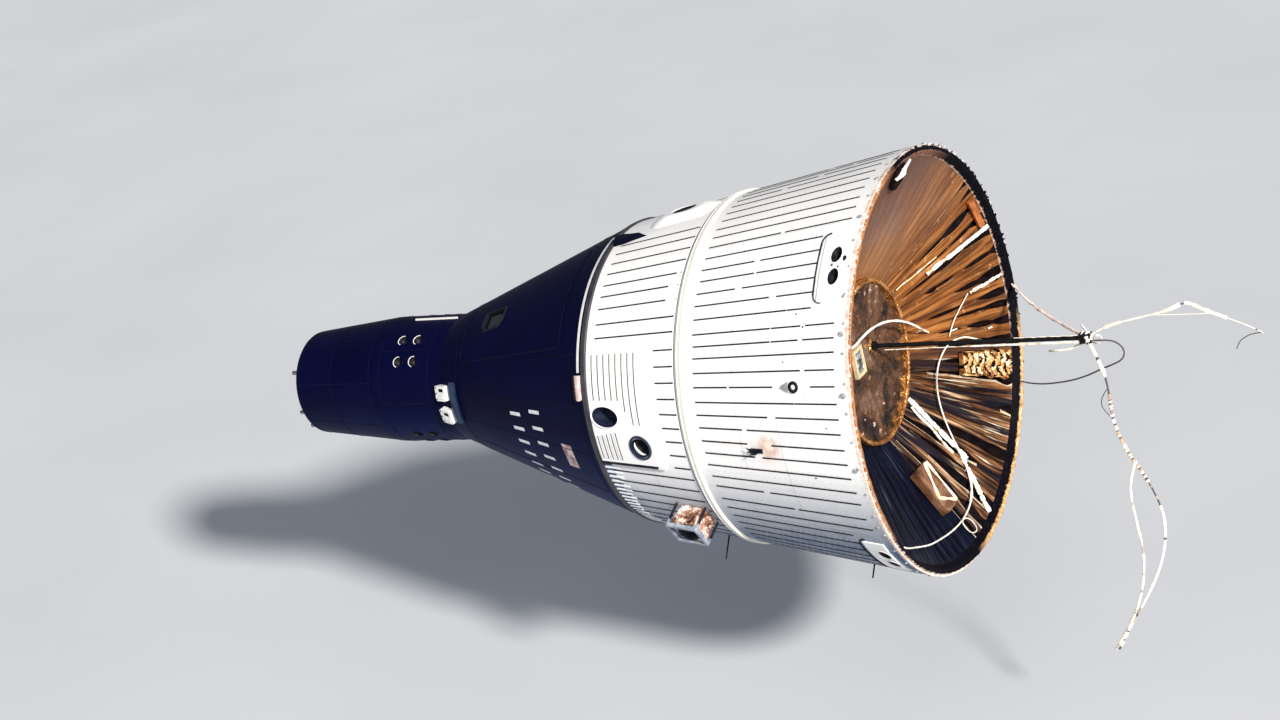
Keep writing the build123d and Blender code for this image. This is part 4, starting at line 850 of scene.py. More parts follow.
def patches(seed, rate, cut, thin, dark_from=0.0, dark_to=1.0):
    """Thick white patches and thin darker stretches in turn."""
    def state(u):
        v = mnoise.noise(Vector((u * rate, seed, 3.0))) + 0.35 * mnoise.noise(Vector((u * rate * 3.1, seed, 8.0)))
        if v < cut and dark_from <= u <= dark_to:
            return (thin, 1)
        return (min(1.0, 0.72 + 0.6 * max(0.0, v - cut)), 0)
    return state


ARCH = [(-1.106, -0.046, 0.118), (-1.180, -0.046, 0.160), (-1.290, -0.046, 0.200), (-1.430, -0.046, 0.229),
        (-1.580, -0.046, 0.258), (-1.710, -0.046, 0.289), (-1.826, -0.046, 0.345), (-1.950, -0.046, 0.268),
        (-2.100, -0.046, 0.206), (-2.230, -0.046, 0.148), (-2.322, -0.046, 0.092)]
END_CURL = [(-2.312, -0.046, 0.098), (-2.262, -0.046, 0.094), (-2.212, -0.046, 0.080), (-2.166, -0.046, 0.054),
            (-2.136, -0.046, 0.020), (-2.120, -0.046, -0.016)]
TRAIL_LONG = [(-1.096, -0.046, 0.073), (-1.160, -0.046, -0.100), (-1.178, -0.046, -0.300), (-1.162, -0.046, -0.490),
              (-1.215, -0.046, -0.733), (-1.343, -0.046, -0.982), (-1.416, -0.046, -1.229),
              (-1.391, -0.046, -1.471), (-1.297, -0.046, -1.708), (-1.159, -0.046, -1.937),
              (-1.005, -0.046, -2.158), (-0.902, -0.046, -2.330)]
TRAIL_SHORT = [(-1.270, -0.040, -0.856), (-1.232, -0.030, -0.935), (-1.206, -0.012, -1.075), (-1.222, 0.0, -1.287),
               (-1.236, 0.004, -1.517), (-1.199, 0.004, -1.742), (-1.120, 0.004, -1.957), (-1.001, 0.004, -2.158),
               (-0.890, 0.004, -2.310)]
DARK_LOOP = [(-1.122, -0.030, 0.090), (-1.205, -0.026, 0.096), (-1.300, -0.022, 0.084), (-1.352, -0.026, 0.018),
             (-1.322, -0.046, -0.060), (-1.240, -0.092, -0.112), (-1.100, -0.190, -0.190), (-0.950, -0.318, -0.288),
             (-0.800, -0.462, -0.380), (-0.640, -0.640, -0.475), (-0.480, -0.815, -0.562), (-0.320, -0.980, -0.640),
             (-0.170, -1.125, -0.697), (-0.060, -1.222, -0.726), (-0.004, -1.276, -0.736)]
RIM_TAPE = [(-1.078, -0.080, 0.104), (-0.960, -0.230, 0.066), (-0.800, -0.430, 0.038), (-0.620, -0.650, 0.010),
            (-0.440, -0.880, -0.014), (-0.270, -1.110, -0.034), (-0.120, -1.320, -0.040), (-0.004, -1.484, -0.033)]
INNER_LONG = [(0.178, -1.136, -0.335), (0.215, -1.075, -0.290), (0.262, -1.000, -0.245), (0.332, -0.885, -0.246),
              (0.373, -0.767, -0.324), (0.384, -0.671, -0.438), (0.366, -0.601, -0.571), (0.328, -0.553, -0.712),
              (0.278, -0.519, -0.850), (0.224, -0.492, -0.977), (0.171, -0.448, -1.087), (0.128, -0.358, -1.175),
              (0.100, -0.223, -1.236), (0.092, -0.070, -1.268), (0.097, 0.089, -1.272), (0.105, 0.245, -1.254),
              (0.103, 0.418, -1.212), (0.090, 0.590, -1.160), (0.070, 0.760, -1.085), (0.048, 0.920, -1.010),
              (0.032, 1.050, -0.950), (0.026, 1.120, -0.905)]
INNER_ARC = [(0.554, 0.395, 0.258), (0.468, 0.373, 0.262), (0.437, 0.228, 0.305), (0.414, 0.075, 0.308),
             (0.397, -0.081, 0.277), (0.383, -0.234, 0.220), (0.378, -0.378, 0.144), (0.386, -0.520, 0.055),
             (0.404, -0.655, -0.032), (0.424, -0.790, -0.112)]

P_ARCH, P_LONG, P_SHORT = follow("arch", ARCH), follow("trail_long", TRAIL_LONG), follow("trail_short", TRAIL_SHORT)
P_RIM, P_INNER, P_ARC = follow("rim", RIM_TAPE), follow("inner_long", INNER_LONG), follow("inner_arc", INNER_ARC)
def arch_state(u):
    v = mnoise.noise(Vector((u * 34.0, 2.0, 3.0)))
    if u < 0.10:
        return (0.60 + 0.3 * v, 0)
    if u < 0.20:
        return (1.05 + 0.2 * v, 0)
    if u < 0.40:
        return (0.60 + 0.25 * v, 0)
    if u < 0.545:
        return (0.60 + 1.1 * (u - 0.40) / 0.145 + 0.2 * v, 0)
    if u < 0.566:
        return (0.40, 1)
    if u < 0.80:
        return (1.15 + 0.35 * v, 0)
    return (0.30 + 0.12 * v, 0 if v > -0.30 else 1)


arch = ribbon("strap_arch_tape", P_ARCH, 0.026, 0.011, 1.0, [TAPE, TAPE_DARK], arch_state, 0.0, 0.45)


def trail_state(u):
    v = mnoise.noise(Vector((u * 64.0, 4.0, 3.0)))
    if u < 0.105:
        return (1.10 + 0.5 * v, 0) if abs(u - 0.047) > 0.004 else (0.6, 1)
    if u < 0.155:
        return (0.50, 1)
    if u < 0.43:
        w = mnoise.noise(Vector((u * 150.0, 1.0, 5.0)))
        return (1.05 + 0.6 * w, 0) if w > 0.02 else ((0.85, 2) if w > -0.16 else (0.75, 1))
    if u < 0.50:
        return (0.42, 1) if v < 0.15 else (0.55, 2)
    if 0.84 < u < 0.90:
        return (0.50, 2 if v > -0.2 else 1)
    return (0.86 + 0.45 * v, 0 if v > -0.38 else 1)


trail_long = ribbon("strap_trailing_tape", P_LONG, 0.026, 0.012, 3.0, [TAPE, TAPE_DARK, TAPE_TAN], trail_state, 0.0, 0.55)
trail_short = ribbon("strap_trailing_second", P_SHORT, 0.022, 0.011, 6.0, [TAPE, TAPE_TAN], patches(7.0, 18.0, -0.30, 0.55),
                     0.3, 0.6)
dark_loop = nurbs("dark_loop_cord", DARK_LOOP, TAPE_DARK, 0.012)
end_curl = nurbs("end_curl_cord", END_CURL, TAPE_DARK, 0.007)
rim_tape = ribbon("rim_to_boom_tape", P_RIM, 0.032, 0.012, 9.0, [TAPE_PINK, TAPE], patches(11.0, 12.0, -0.34, 0.9), 0.8, 0.5,
                  lim=0.0185)


def inner_state(u):
    v = mnoise.noise(Vector((u * 50.0, 9.0, 3.0)))
    if 0.36 < u < 0.53:
        return (1.35 + 0.5 * v, 0)
    return (0.78 + 0.25 * v, 0)


inner_long = ribbon("inner_long_cord", P_INNER, 0.016, 0.011, 12.0, [TAPE, TAPE_TAN], inner_state, 0.0, 0.5, lim=0.0109)
inner_arc = ribbon("inner_arc_tape", P_ARC, 0.019, 0.010, 15.0, [TAPE, TAPE_TAN], patches(16.0, 12.0, -0.50, 0.80), 0.2, 0.6, lim=0.0133)

# a thinner strand twisted about the arch near its top, and a small ring of strand by the base rim
ia = [i for i, q in enumerate(P_ARCH) if -2.00 < q.x < -1.56]
A_, B_ = P_ARCH[ia[0]], P_ARCH[ia[-1]]
under = [A_ + (B_ - A_) * (k / 60) + Vector((0.0, 0.006 * math.sin(math.pi * k / 60), 0.0))
         for k in range(61)]
arch_second = ribbon("arch_second_strand", under, 0.011, 0.007, 21.0, [TAPE], lambda u: (0.9, 0), 5.0, 0.8)
il = [i for i, q in enumerate(P_LONG) if -0.50 < q.z < -0.27]
side_p = [P_LONG[i] + Vector((0.060 * math.sin(math.pi * k / (len(il) - 1)), 0.010, 0.0)) for k, i in enumerate(il)]
trail_side = ribbon("trailing_side_strand", side_p, 0.007, 0.006, 23.0, [TAPE_DARK], lambda u: (1.0, 0), 2.0, 0.5)
ring_c = Vector((0.060, -0.020, -1.318))
ring_p = []
for k in range(49):
    t = 2 * math.pi * k / 48 + 0.6
    ring_p.append(ring_c + Vector((-0.010 + 0.032 * math.sin(t), 0.058 * math.cos(t) + 0.020 * math.sin(t), 0.0))
                  + Vector((0.0, 0.0, 0.060 * math.sin(t) + 0.004 * math.sin(3 * t))))
inner_ring = ribbon("inner_small_ring", ring_p, 0.010, 0.007, 25.0, [TAPE], lambda u: (0.9, 0), 6.0, 1.0)

for piece, node_name, route, length, dia, far, stiff, path, extra in (
        (arch, "strap_arch", ARCH, 1.300, 0.026, "bare", "stiff", P_ARCH, [arch_second]),
        (trail_long, "strap_trailing_long", TRAIL_LONG, 2.58, 0.026, "bare", "limp", P_LONG, [trail_side]),
        (trail_short, "strap_trailing_short", TRAIL_SHORT, 1.55, 0.022, "bare", "limp", P_SHORT, []),
        (dark_loop, "strap_dark_loop", DARK_LOOP, 2.26, 0.012, "object", "medium", None, []),
        (end_curl, "strap_end_curl", END_CURL, 0.235, 0.007, "bare", "stiff", None, []),
        (rim_tape, "strap_rim_to_boom", RIM_TAPE, 1.777, 0.026, "object", "medium", P_RIM, []),
        (inner_long, "inner_cord_long", INNER_LONG, 3.02, 0.014, "object", "limp", P_INNER, [inner_ring]),
        (inner_arc, "inner_cord_arc", INNER_ARC, 1.35, 0.018, "object", "medium", P_ARC, [])):
    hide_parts(node_name)

# ------------------------------------------------------------------ lines along the adapter
lines = Batch()
W = 0.0104
EQ = [71.0, 67.2, 63.1, 58.7, 54.4, 50.4, 46.2, 42.2, 37.9, 33.3, 29.6, 26.0, 21.6, 17.3, 12.8, 8.8, 4.8, 0.5, -3.6,
      -7.8, -12.1, -16.0]
c = 75.2
while c < 340:
    EQ.append(c)
    c += 4.18
GAPS = {54.4: [(0.79, 0.84)], 46.2: [(0.90, 0.96)], 42.2: [(0.60, 0.66)], 50.4: [(0.80, 0.82)], 33.3: [(0.62, 0.63), (0.34, 0.38)],
        29.6: [(0.36, 0.40), (0.62, 0.63)], 17.3: [(0.31, 0.62), (0.98, 1.00)], 8.8: [(0.62, 0.69)], 4.8: [(0.88, 0.92)],
        0.5: [(0.70, 0.90)], -3.6: [(0.80, 0.86)], 37.9: [(0.50, 0.505)], 12.8: [(0.45, 0.455)]}
for c in EQ:
    cc = ((c + 180) % 360) - 180
    x_lo, x_hi = 0.105 + 0.012 * rng.random(), 1.290 - 0.012 * rng.random()
    # stop short of the four attitude thruster panels
    for q in (0, 90, 180, 270):
        if 36.5 < ((c - q) % 360) < 60.5:
            x_lo = 0.305
    gaps = GAPS.get(c, [])
    if not gaps and rng.random() < 0.30:
        g = 0.3 + 0.8 * rng.random()
        gaps = [(g, g + 0.03 + 0.03 * rng.random())]
    seg = x_lo
    for g0, g1 in sorted(gaps):
        if g0 > seg:
            lines.line(seg, g0, cc, W, ad_r)
        seg = max(seg, g1)
    lines.line(seg, x_hi, cc, W, ad_r)
RT = [35.0, 40.0, 45.8, 50.7, 55.3, 60.4, 65.3, 70.3, 75.1]
for k in range(14):
    RT += [-15.0 - 5.0 * k]
for k in range(8):
    RT += [105.0 + 5.0 * k]
for k in range(14):
    RT += [195.0 + 5.0 * k]
for c in RT:
    cd = ((c + 180) % 360) - 180
    if -94 < cd < -86 or cd > 180:
        x0 = 1.46
        lines.line(1.46, 1.54, c, W, ad_r)
        continue
    if -40 < cd < -26 or -154 < cd < -140:
        lines.line(1.46, 1.485, c, W, ad_r)
        lines.line(1.755, 2.16, c, W, ad_r)
        continue
    if 45 < cd < 60:
        lines.line(1.56 if cd < 55 else 1.51, 2.165, c, W, ad_r)
        lines.line(1.47, 1.475, c, W, ad_r)
    else:
        lines.line(1.465, 2.165, c, W, ad_r)
# short lines between the side fairing and the ridge
for side in (0, 1):
    for k, c in enumerate((29.3, 24.0, 18.8, 13.6, 8.6, 3.9, -0.8, -5.8, -10.6)):
        cc = c if side == 0 else 180 - c
        lines.line(1.462, 1.630 - 0.004 * k, cc, W, ad_r)
# a seam round the body just forward of the ridge
for x in (1.449,):
    lines.arc(x, 0.004, -180, 180, ad_r, 0.0008, 0.0012, 2.0)
lines.build("adapter_lines", LINE, slot="nozzle_dark")

# small round fastener heads in rows beside the lines
heads_v, heads_f = [], []


def head(x, c, rf, r=0.0040, h=0.0020, lift=0.0002):
    n, xd, td = hull_axes(x, c, AD_ANG)
    o = skin_pt(x, c, rf(x), lift)
    b = len(heads_v)
    for k in range(6):
        a = math.pi / 3 * k
        heads_v.append(tuple(o + xd * (r * math.cos(a)) + td * (r * math.sin(a))))
    for k in range(6):
        a = math.pi / 3 * k
        heads_v.append(tuple(o + xd * (r * 0.6 * math.cos(a)) + td * (r * 0.6 * math.sin(a)) + n * h))
    for k in range(6):
        k2 = (k + 1) % 6
        heads_f.append((b + k, b + k2, b + 6 + k2, b + 6 + k))
    heads_f.append(tuple(b + 6 + k for k in range(6)))


for c in EQ:
    cc = ((c + 180) % 360) - 180
    skip = any(36.0 < ((cc - q) % 360) < 61.0 for q in (0, 90, 180, 270))
    for k in range(26):
        x = 0.125 + 0.0460 * k
        if skip and x < 0.31:
            continue
        head(x, cc + 0.62, ad_r)
        if cc < -10 or cc > 100:
            head(x + 0.023, cc + 2.1, ad_r, 0.0034)
for c in RT:
    cd = ((c + 180) % 360) - 180
    if -94 < cd < -86 or -40 < cd < -26 or -154 < cd < -140 or 84 < cd < 96:
        continue
    for k in range(15):
        head(1.50 + 0.045 * k, cd + 0.75, ad_r)
for k in range(180):
    head(1.340, 2.0 * k, ad_r)
    head(1.463, 2.0 * k + 0.9, ad_r)
    head(0.094, 2.0 * k + 0.4, ad_r)
make_obj("adapter_fastener_heads", heads_v, heads_f, GREYHEAD, smooth=False)

# cross seams: faint, only some bays
faint = Batch()
for x, c0, c1 in ((0.95, -8, 60), (0.62, -30, 10), (0.36, 15, 60), (1.02, -70, -20), (0.30, -75, -20), (1.18, 80, 150),
                  (0.70, 90, 170), (1.95, 35, 78), (1.80, -60, -12)):
    rf = ad_r
    faint.arc(x, 0.0022, c0, c1, rf, 0.0008, 0.0008, 2.0)
for c in (-27.6, -41.0, -62.0, 62.5, 101.0, 140.0):
    faint.line(0.2, 1.28, c, 0.002, ad_r, 0.0008, 0.0008)
GREYLINE = plain("faint_seam_grey", (0.45, 0.44, 0.42), (0.58, 0.57, 0.55), 0.6, 0.0, 20.0, 200.0, 0.1, 0.0005, 0.2)
faint.build("adapter_faint_seams", GREYLINE, slot="white_paint")

# bright pointed tabs along the front edge, closer together low on the side; their white is painted highlight, and the
# blue-dark slots between them are painted shade
teeth = Batch()
dark = Batch()
for side in (0, 1):
    c = -11.5
    k = 0
    while c > -78.0:
        stp = 2.3 if c > -40 else 1.9
        a0, a1 = c - stp * 0.17, c + stp * 0.17
        lo, hi = (a0, a1) if side == 0 else (180 - a1, 180 - a0)
        L = 0.085 + 0.050 * rng.random()
        teeth.slab(2.236 - L, 2.2395, lo, hi, ad_r, 0.0008, 0.0050, 2, 1)
        d0, d1 = c - stp * 0.66, c - stp * 0.24
        lo, hi = (d0, d1) if side == 0 else (180 - d1, 180 - d0)
        dark.slab(2.175 - 0.03 * rng.random(), 2.2395, lo, hi, ad_r, 0.0006, 0.0016, 1, 1)
        c -= stp
        k += 1
teeth.build("front_edge_tabs", TOOTH, slot="white_paint")
dark.build("front_edge_slots", SLOT_BLUE, slot="nozzle_dark")

# ridge lips: a pale rounded lip each side of the ridge
def ridge_r(x):
    return ad_r(x) + 0.017


lip = Batch()
for x, w in ((1.383, 0.006), (1.417, 0.006)):
    lip.arc(x, w, -180, 180, ridge_r, 0.0, 0.003, 2.0)
lip.build("ridge_lips", WHITE_SMOOTH, slot="white_paint")

# bolts along the base edge
studs = []
for k in range(48):
    c = 7.5 * k + 3.0
    n, xd, td = hull_axes(0.03, c, AD_ANG)
    p = skin_pt(0.030 + 0.006 * (k % 2), c, ad_r(0.03), 0.0002)
    studs.append(lathe([(0.0, 0.009), (0.006, 0.009), (0.009, 0.006), (0.010, 0.0)], p, n, xd, 8))
v_, f_ = join(studs)
make_obj("base_edge_fasteners", v_, f_, TAIL, smooth=False)

# small crumpled tabs sticking out by the base edge
tabs = []
for n_, (x, c, sz) in enumerate(((0.060, -5.0, 0.020), (0.055, 15.0, 0.024), (0.050, 30.4, 0.022), (0.045, 40.0, 0.014), (0.050, -24.0, 0.016),
                                 (0.045, 63.0, 0.018), (0.045, 78.0, 0.016), (0.050, 120.0, 0.016), (0.050, 200.0, 0.020))):
    n, xd, td = hull_axes(x, c, AD_ANG)
    o = skin_pt(x, c, ad_r(x)) + n * 0.004
    vs, fs = [], []
    for j in range(9):
        th_ = math.pi * j / 8
        for k in range(12):
            a = 2 * math.pi * k / 12
            d = Vector((math.sin(th_) * math.cos(a), math.sin(th_) * math.sin(a), math.cos(th_)))
            q = 1 + 0.45 * mnoise.noise(d * 2.5 + Vector((n_ * 3.0, 0, 0)))
            hgt = max(-0.0035, d.z * sz * 0.40 * q)
            vs.append(tuple(o + xd * (d.x * sz * q) + td * (d.y * sz * 0.8 * q) + n * hgt))
    for j in range(8):
        for k in range(12):
            k2 = (k + 1) % 12
            fs.append((j * 12 + k, j * 12 + k2, (j + 1) * 12 + k2, (j + 1) * 12 + k))
    tabs.append((vs, fs))
v_, f_ = join(tabs)
make_obj("base_edge_crumpled_tabs", v_, f_, TAIL, smooth=False)
# frayed bits along the rim; the dark ones over the top and right, in the rim's shaded band, are painted shadow
bits_v, bits_f, bits_m = [], [], []
for k in range(150):
    c = rng.uniform(82.0, 205.0) if k < 110 else rng.uniform(-80.0, 78.0)
    a = math.radians(c)
    rdir = Vector((0.0, math.cos(a), math.sin(a)))
    tdir = Vector((0.0, -math.sin(a), math.cos(a)))
    base_ = rdir * (1.515 if k < 110 else 1.510) + Vector((-0.0015, 0, 0))
    L = rng.uniform(0.008, 0.024) if k < 110 else rng.uniform(0.004, 0.012)
    wd = rng.uniform(0.006, 0.020)
    tip = base_ + rdir * L * (0.75 if k < 110 else 0.2) + tdir * rng.uniform(-0.012, 0.012) - Vector((rng.uniform(0.002, 0.014), 0, 0))
    b = len(bits_v)
    up_ = Vector((-0.0022, 0, 0))
    for q in (base_ - tdir * wd, base_ + tdir * wd, tip + tdir * wd * 0.4, tip - tdir * wd * 0.3):
        bits_v.append(tuple(q))
    for q in (base_ - tdir * wd + up_, base_ + tdir * wd + up_, tip + tdir * wd * 0.4 + up_, tip - tdir * wd * 0.3 + up_):
        bits_v.append(tuple(q))
    m_ = (1 if rng.random() < (0.70 if c < 132 else 0.28) else 0) if k < 110 else (1 if rng.random() < 0.5 else 2)
    for q in ((0, 3, 2, 1), (4, 5, 6, 7), (0, 1, 5, 4), (1, 2, 6, 5), (2, 3, 7, 6), (3, 0, 4, 7)):
        bits_f.append(tuple(b + i for i in q))
        bits_m.append(m_)
make_obj("rim_frayed_bits", bits_v, bits_f, [GAP, NOZZLE_WHITE, COPPER], smooth=False, face_mat=bits_m)

# ------------------------------------------------------------------ side fairings: ribs and openings
FP = 0.028


def fair_r(x):
    return ad_r(x) + FP


for side, body_name in ((0, "left"), (1, "right")):
    def ck(c):
        return c if side == 0 else 180 - c
    ribs = Batch()
    for k in range(8):
        x = 2.172 - 0.0545 * k
        c_lo, c_hi = (13.2, 29.0)
        if k > 4:
            c_lo = 5.0 if k > 5 else 9.5
        lo, hi = sorted((ck(c_lo), ck(c_hi)))
        ribs.arc(x, 0.0065, lo, hi, fair_r, 0.0006, 0.0020, 1.0)
    for k in range(5):
        x = 2.196 - 0.042 * k
        lo, hi = sorted((ck(-8.8), ck(0.2 + 0.4 * k)))
        ribs.arc(x, 0.0060, lo, hi, fair_r, 0.0006, 0.0020, 1.0)
    ribs.build("fairing_ribs_" + body_name, LINE, slot="nozzle_dark")
    white = Batch()
    for k in range(8):
        x = 2.172 - 0.0545 * k + 0.012
        c_lo, c_hi = (13.2, 29.0)
        if k > 4:
            c_lo = 5.0 if k > 5 else 9.5
        lo, hi = sorted((ck(c_lo), ck(c_hi)))
        white.arc(x, 0.015, lo, hi, fair_r, 0.0004, 0.0040, 1.0)
    for k in range(5):
        x = 2.196 - 0.042 * k + 0.011
        lo, hi = sorted((ck(-8.8), ck(0.2 + 0.4 * k)))
        white.arc(x, 0.013, lo, hi, fair_r, 0.0004, 0.0038, 1.0)
    white.build("fairing_beads_" + body_name, WHITE_SMOOTH, slot="white_paint")
    # lip along the lower edge of the panel, dark: painted shadow under the panel
    edge = Batch()
    lo, hi = sorted((ck(-11.15), ck(-10.05)))
    edge.slab(1.735, 2.232, lo, hi, ad_r, 0.0008, 0.027, 1, 1)
    edge.build("fairing_edge_" + body_name, LINE, slot="nozzle_dark")
    # raised collars round the two openings
    cols = []
    for (hx, hc, a, b, dark) in ((2.090, 7.3, 0.120, 0.077, True), (1.826, -3.2, 0.078, 0.074, False)):
        n, xd, td = hull_axes(hx, ck(hc), AD_ANG)
        o = skin_pt(hx, ck(hc), ad_r(hx)) + n * (FP + 0.0002)
        vs, fs = [], []
        prof = [(1.00, -0.010), (1.00, 0.004), (1.03, 0.0065), (1.075, 0.0055), (1.10, 0.0)]
        seg = 48
        for k in range(seg):
            t = 2 * math.pi * k / seg
            for s, h in prof:
                q = o + xd * (a * s * math.cos(t)) + td * (b * s * math.sin(t)) + n * h
                vs.append(tuple(q))
        np_ = len(prof)
        for k in range(seg):
            k2 = (k + 1) % seg
            for i in range(np_ - 1):
                fs.append((k * np_ + i, k2 * np_ + i, k2 * np_ + i + 1, k * np_ + i + 1))
        cols.append((vs, fs))
    v_, f_ = join(cols)
    make_obj("fairing_collars_" + body_name, v_, f_, WHITE_SMOOTH)
    # rearward opening: dark ring round it and a nozzle inside with one side of its lip bright, a painted highlight
    n, xd, td = hull_axes(1.826, ck(-3.2), AD_ANG)
    top = skin_pt(1.826, ck(-3.2), ad_r(1.826)) + n * (FP + 0.0003)
    lv, lf = [], []
    for k in range(48):
        t = 2 * math.pi * k / 48
        for (s_, h) in ((0.0006, -0.052), (0.0006, 0.0075), (-0.002, 0.0085)):
            lv.append(tuple(top + xd * ((0.0775 - s_) * math.cos(t)) + td * ((0.0735 - s_) * math.sin(t)) + n * h))
    for k in range(48):
        k2 = (k + 1) % 48
        for i in range(2):
            lf.append((k * 3 + i, k2 * 3 + i, k2 * 3 + i + 1, k * 3 + i + 1))
    make_obj("fairing_hole_lining_" + body_name, lv, lf, NOZZLE_GREY)
    v_, f_ = lathe([(0.079, -0.010), (0.0785, 0.0075), (0.084, 0.0090), (0.094, 0.0075), (0.097, 0.0)], top, n, xd, 48)
    make_obj("fairing_dark_ring_" + body_name, v_, f_, SLOT_DARK)
    o = skin_pt(1.826, ck(-3.2), ad_r(1.826)) + n * (-0.045)
    v_, f_ = lathe([(0.020, 0.0), (0.030, 0.010), (0.044, 0.030), (0.052, 0.052), (0.055, 0.052), (0.047, 0.026),
                    (0.034, 0.002)], o, n, xd, 36)
    make_obj("fairing_bell_" + body_name, v_, f_, NOZZLE)
    vs, fs = [], []
    mid_a = 42.0 if side == 0 else -42.0
    for k in range(31):
        t = math.radians(mid_a - 72.0 + 144.0 * k / 30)
        w_ = 0.5 + 0.5 * math.cos(math.pi * 2 * (k / 30 - 0.5))
        for r_, h_ in ((0.062 - 0.014 * w_, 0.052), (0.0625 - 0.007 * w_, 0.060), (0.0635, 0.062)):
            vs.append(tuple(o + xd * (r_ * math.cos(t)) + n.cross(xd) * (r_ * math.sin(t)) + n * h_))
    for k in range(30):
        for i in range(2):
            fs.append((k * 3 + i, (k + 1) * 3 + i, (k + 1) * 3 + i + 1, k * 3 + i + 1))
    v_, f_ = vs, fs
    make_obj("fairing_bell_lip_painted_highlight_" + body_name, v_, f_, NOZZLE_WHITE)
    # small pale tab at the rear of the panel's lower edge
    tab = Batch()
    lo, hi = sorted((ck(-11.3), ck(-10.2)))
    tab.slab(1.665, 1.735, lo, hi, ad_r, 0.0008, 0.024, 1, 1, 0.006)
    tab.build("fairing_rear_tab_" + body_name, WHITE_SMOOTH, slot="white_paint")

# top and bottom fairing: dark oval bell inside
for c in (90, 270):
    n, xd, td = hull_axes(1.745, c, AD_ANG)
    o = skin_pt(1.745, c, ad_r(1.745)) + n * 0.0
    v_, f_ = lathe([(0.020, -0.02), (0.040, 0.0), (0.056, 0.030), (0.060, 0.030), (0.044, -0.004), (0.026, -0.02)],
                   o, n, xd, 32)
    make_obj("vertical_bell_%d" % c, v_, f_, NOZZLE)

# attitude thrusters: forward half of the panel's outline with rounded corners and a dark forward edge, both painted
# shadow along the panel's edge; collars
def outline(cen, hx, hy, rad, w, lift, height, names, half=None):
    """A strip following a rounded rectangle on the skin; cen is (x, clock)."""
    n, xd, td = hull_axes(cen[0], cen[1], AD_ANG)
    pts = []
    corners = ((1, -1, 270), (1, 1, 0)) if half else ((1, 1, 0), (-1, 1, 90), (-1, -1, 180), (1, -1, 270))
    for (sx, sy, a0) in corners:
        for k in range(9):
            a = math.radians(a0 + 90 * k / 8)
            pts.append((sx * (hx - rad) + rad * math.cos(a), sy * (hy - rad) + rad * math.sin(a)))
    vs, fs = [], []
    for (u, q) in pts:
        d = math.hypot(u, q)
        for s_, h in ((-w / 2, 0.0), (-w / 2, height), (w / 2, height), (w / 2, 0.0)):
            uu, qq = u * (1 + s_ / d), q * (1 + s_ / d)
            xx = cen[0] + uu * math.cos(AD_ANG)
            rr = ad_r(xx) + lift + h
            cc = math.radians(cen[1]) + qq / ad_r(cen[0])
            vs.append((xx, rr * math.cos(cc), rr * math.sin(cc)))
    m = len(pts)
    for k in range(m):
        k2 = (k + 1) % m
        if half and k2 == 0:
            continue
        for i in range(3):
            fs.append((k * 4 + i, k2 * 4 + i, k2 * 4 + i + 1, k * 4 + i + 1))
    if half:
        fs += [(0, 1, 2, 3), (m * 4 - 1, m * 4 - 2, m * 4 - 3, m * 4 - 4)]
    return vs, fs


outs = [outline((0.186, 48.9 + q), 0.108, 0.262, 0.062, 0.0060, 0.0008, 0.0096, None, True) for q in (0, 90, 180, 270)]
v_, f_ = join(outs)
make_obj("attitude_panel_painted_shadow_outlines", v_, f_, LINE, smooth=False)
att = Batch()
for q in (0, 90, 180, 270):
    att.slab(0.2925, 0.3015, 41.2 + q, 56.6 + q, ad_r, 0.0008, 0.0050, 1, 12)
att.build("attitude_panel_painted_shadow_lips", LINE, slot="nozzle_dark")
cols = []
for q in (0, 90, 180, 270):
    for c in (51.8, 45.6):
        n, xd, td = hull_axes(0.148, c + q, AD_ANG)
        o = skin_pt(0.148, c + q, ad_r(0.148)) + n * 0.0092
        vs, fs = [], []
        prof = [(1.0, -0.004), (1.0, 0.003), (1.07, 0.005), (1.17, 0.0)]
        for k in range(40):
            t = 2 * math.pi * k / 40
            for sc_, h in prof:
                vs.append(tuple(o + xd * (0.046 * sc_ * math.cos(t)) + td * (0.060 * sc_ * math.sin(t)) + n * h))
        for k in range(40):
            k2 = (k + 1) % 40
            for i in range(3):
                fs.append((k * 4 + i, k2 * 4 + i, k2 * 4 + i + 1, k * 4 + i + 1))
        cols.append((vs, fs))
v_, f_ = join(cols)
make_obj("attitude_collars", v_, f_, WHITE_SMOOTH)
spots = []
for (x, c, r) in ((0.088, 50.6, 0.021), (0.170, 48.9, 0.008), (0.118, 48.2, 0.007), (0.42, 36.6, 0.006),
                  (0.36, 33.0, 0.006), (0.40, -8.6, 0.006), (0.22, 6.4, 0.005), (0.52, 24.0, 0.005)):
    n, xd, td = hull_axes(x, c, AD_ANG)
    lift = 0.009 if 0.1 < x < 0.26 and 39 < c < 58 else 0.0
    spots.append(lathe([(0.0, 0.004), (r * 0.8, 0.004), (r, 0.0)], skin_pt(x, c, ad_r(x)) + n * (lift + 0.0006), n, xd, 14))
v_, f_ = join(spots)
make_obj("adapter_small_plugs", v_, f_, NOZZLE)

# teardrop port: dark ring and lens in its round end
n, xd, td = hull_axes(0.441, 17.3, AD_ANG)
o = skin_pt(0.441, 17.3, ad_r(0.441)) + n * 0.0108
v1 = lathe([(0.041, 0.0), (0.041, 0.004), (0.022, 0.006), (0.020, 0.0)], o, n, xd, 32)
v2 = lathe([(0.0, 0.003), (0.010, 0.0025), (0.015, 0.001), (0.017, -0.003)], o + xd * 0.004, n, xd, 24)
make_obj("teardrop_ring", v1[0], v1[1], NOZZLE)
make_obj("teardrop_lens", v2[0], v2[1], SENSOR)
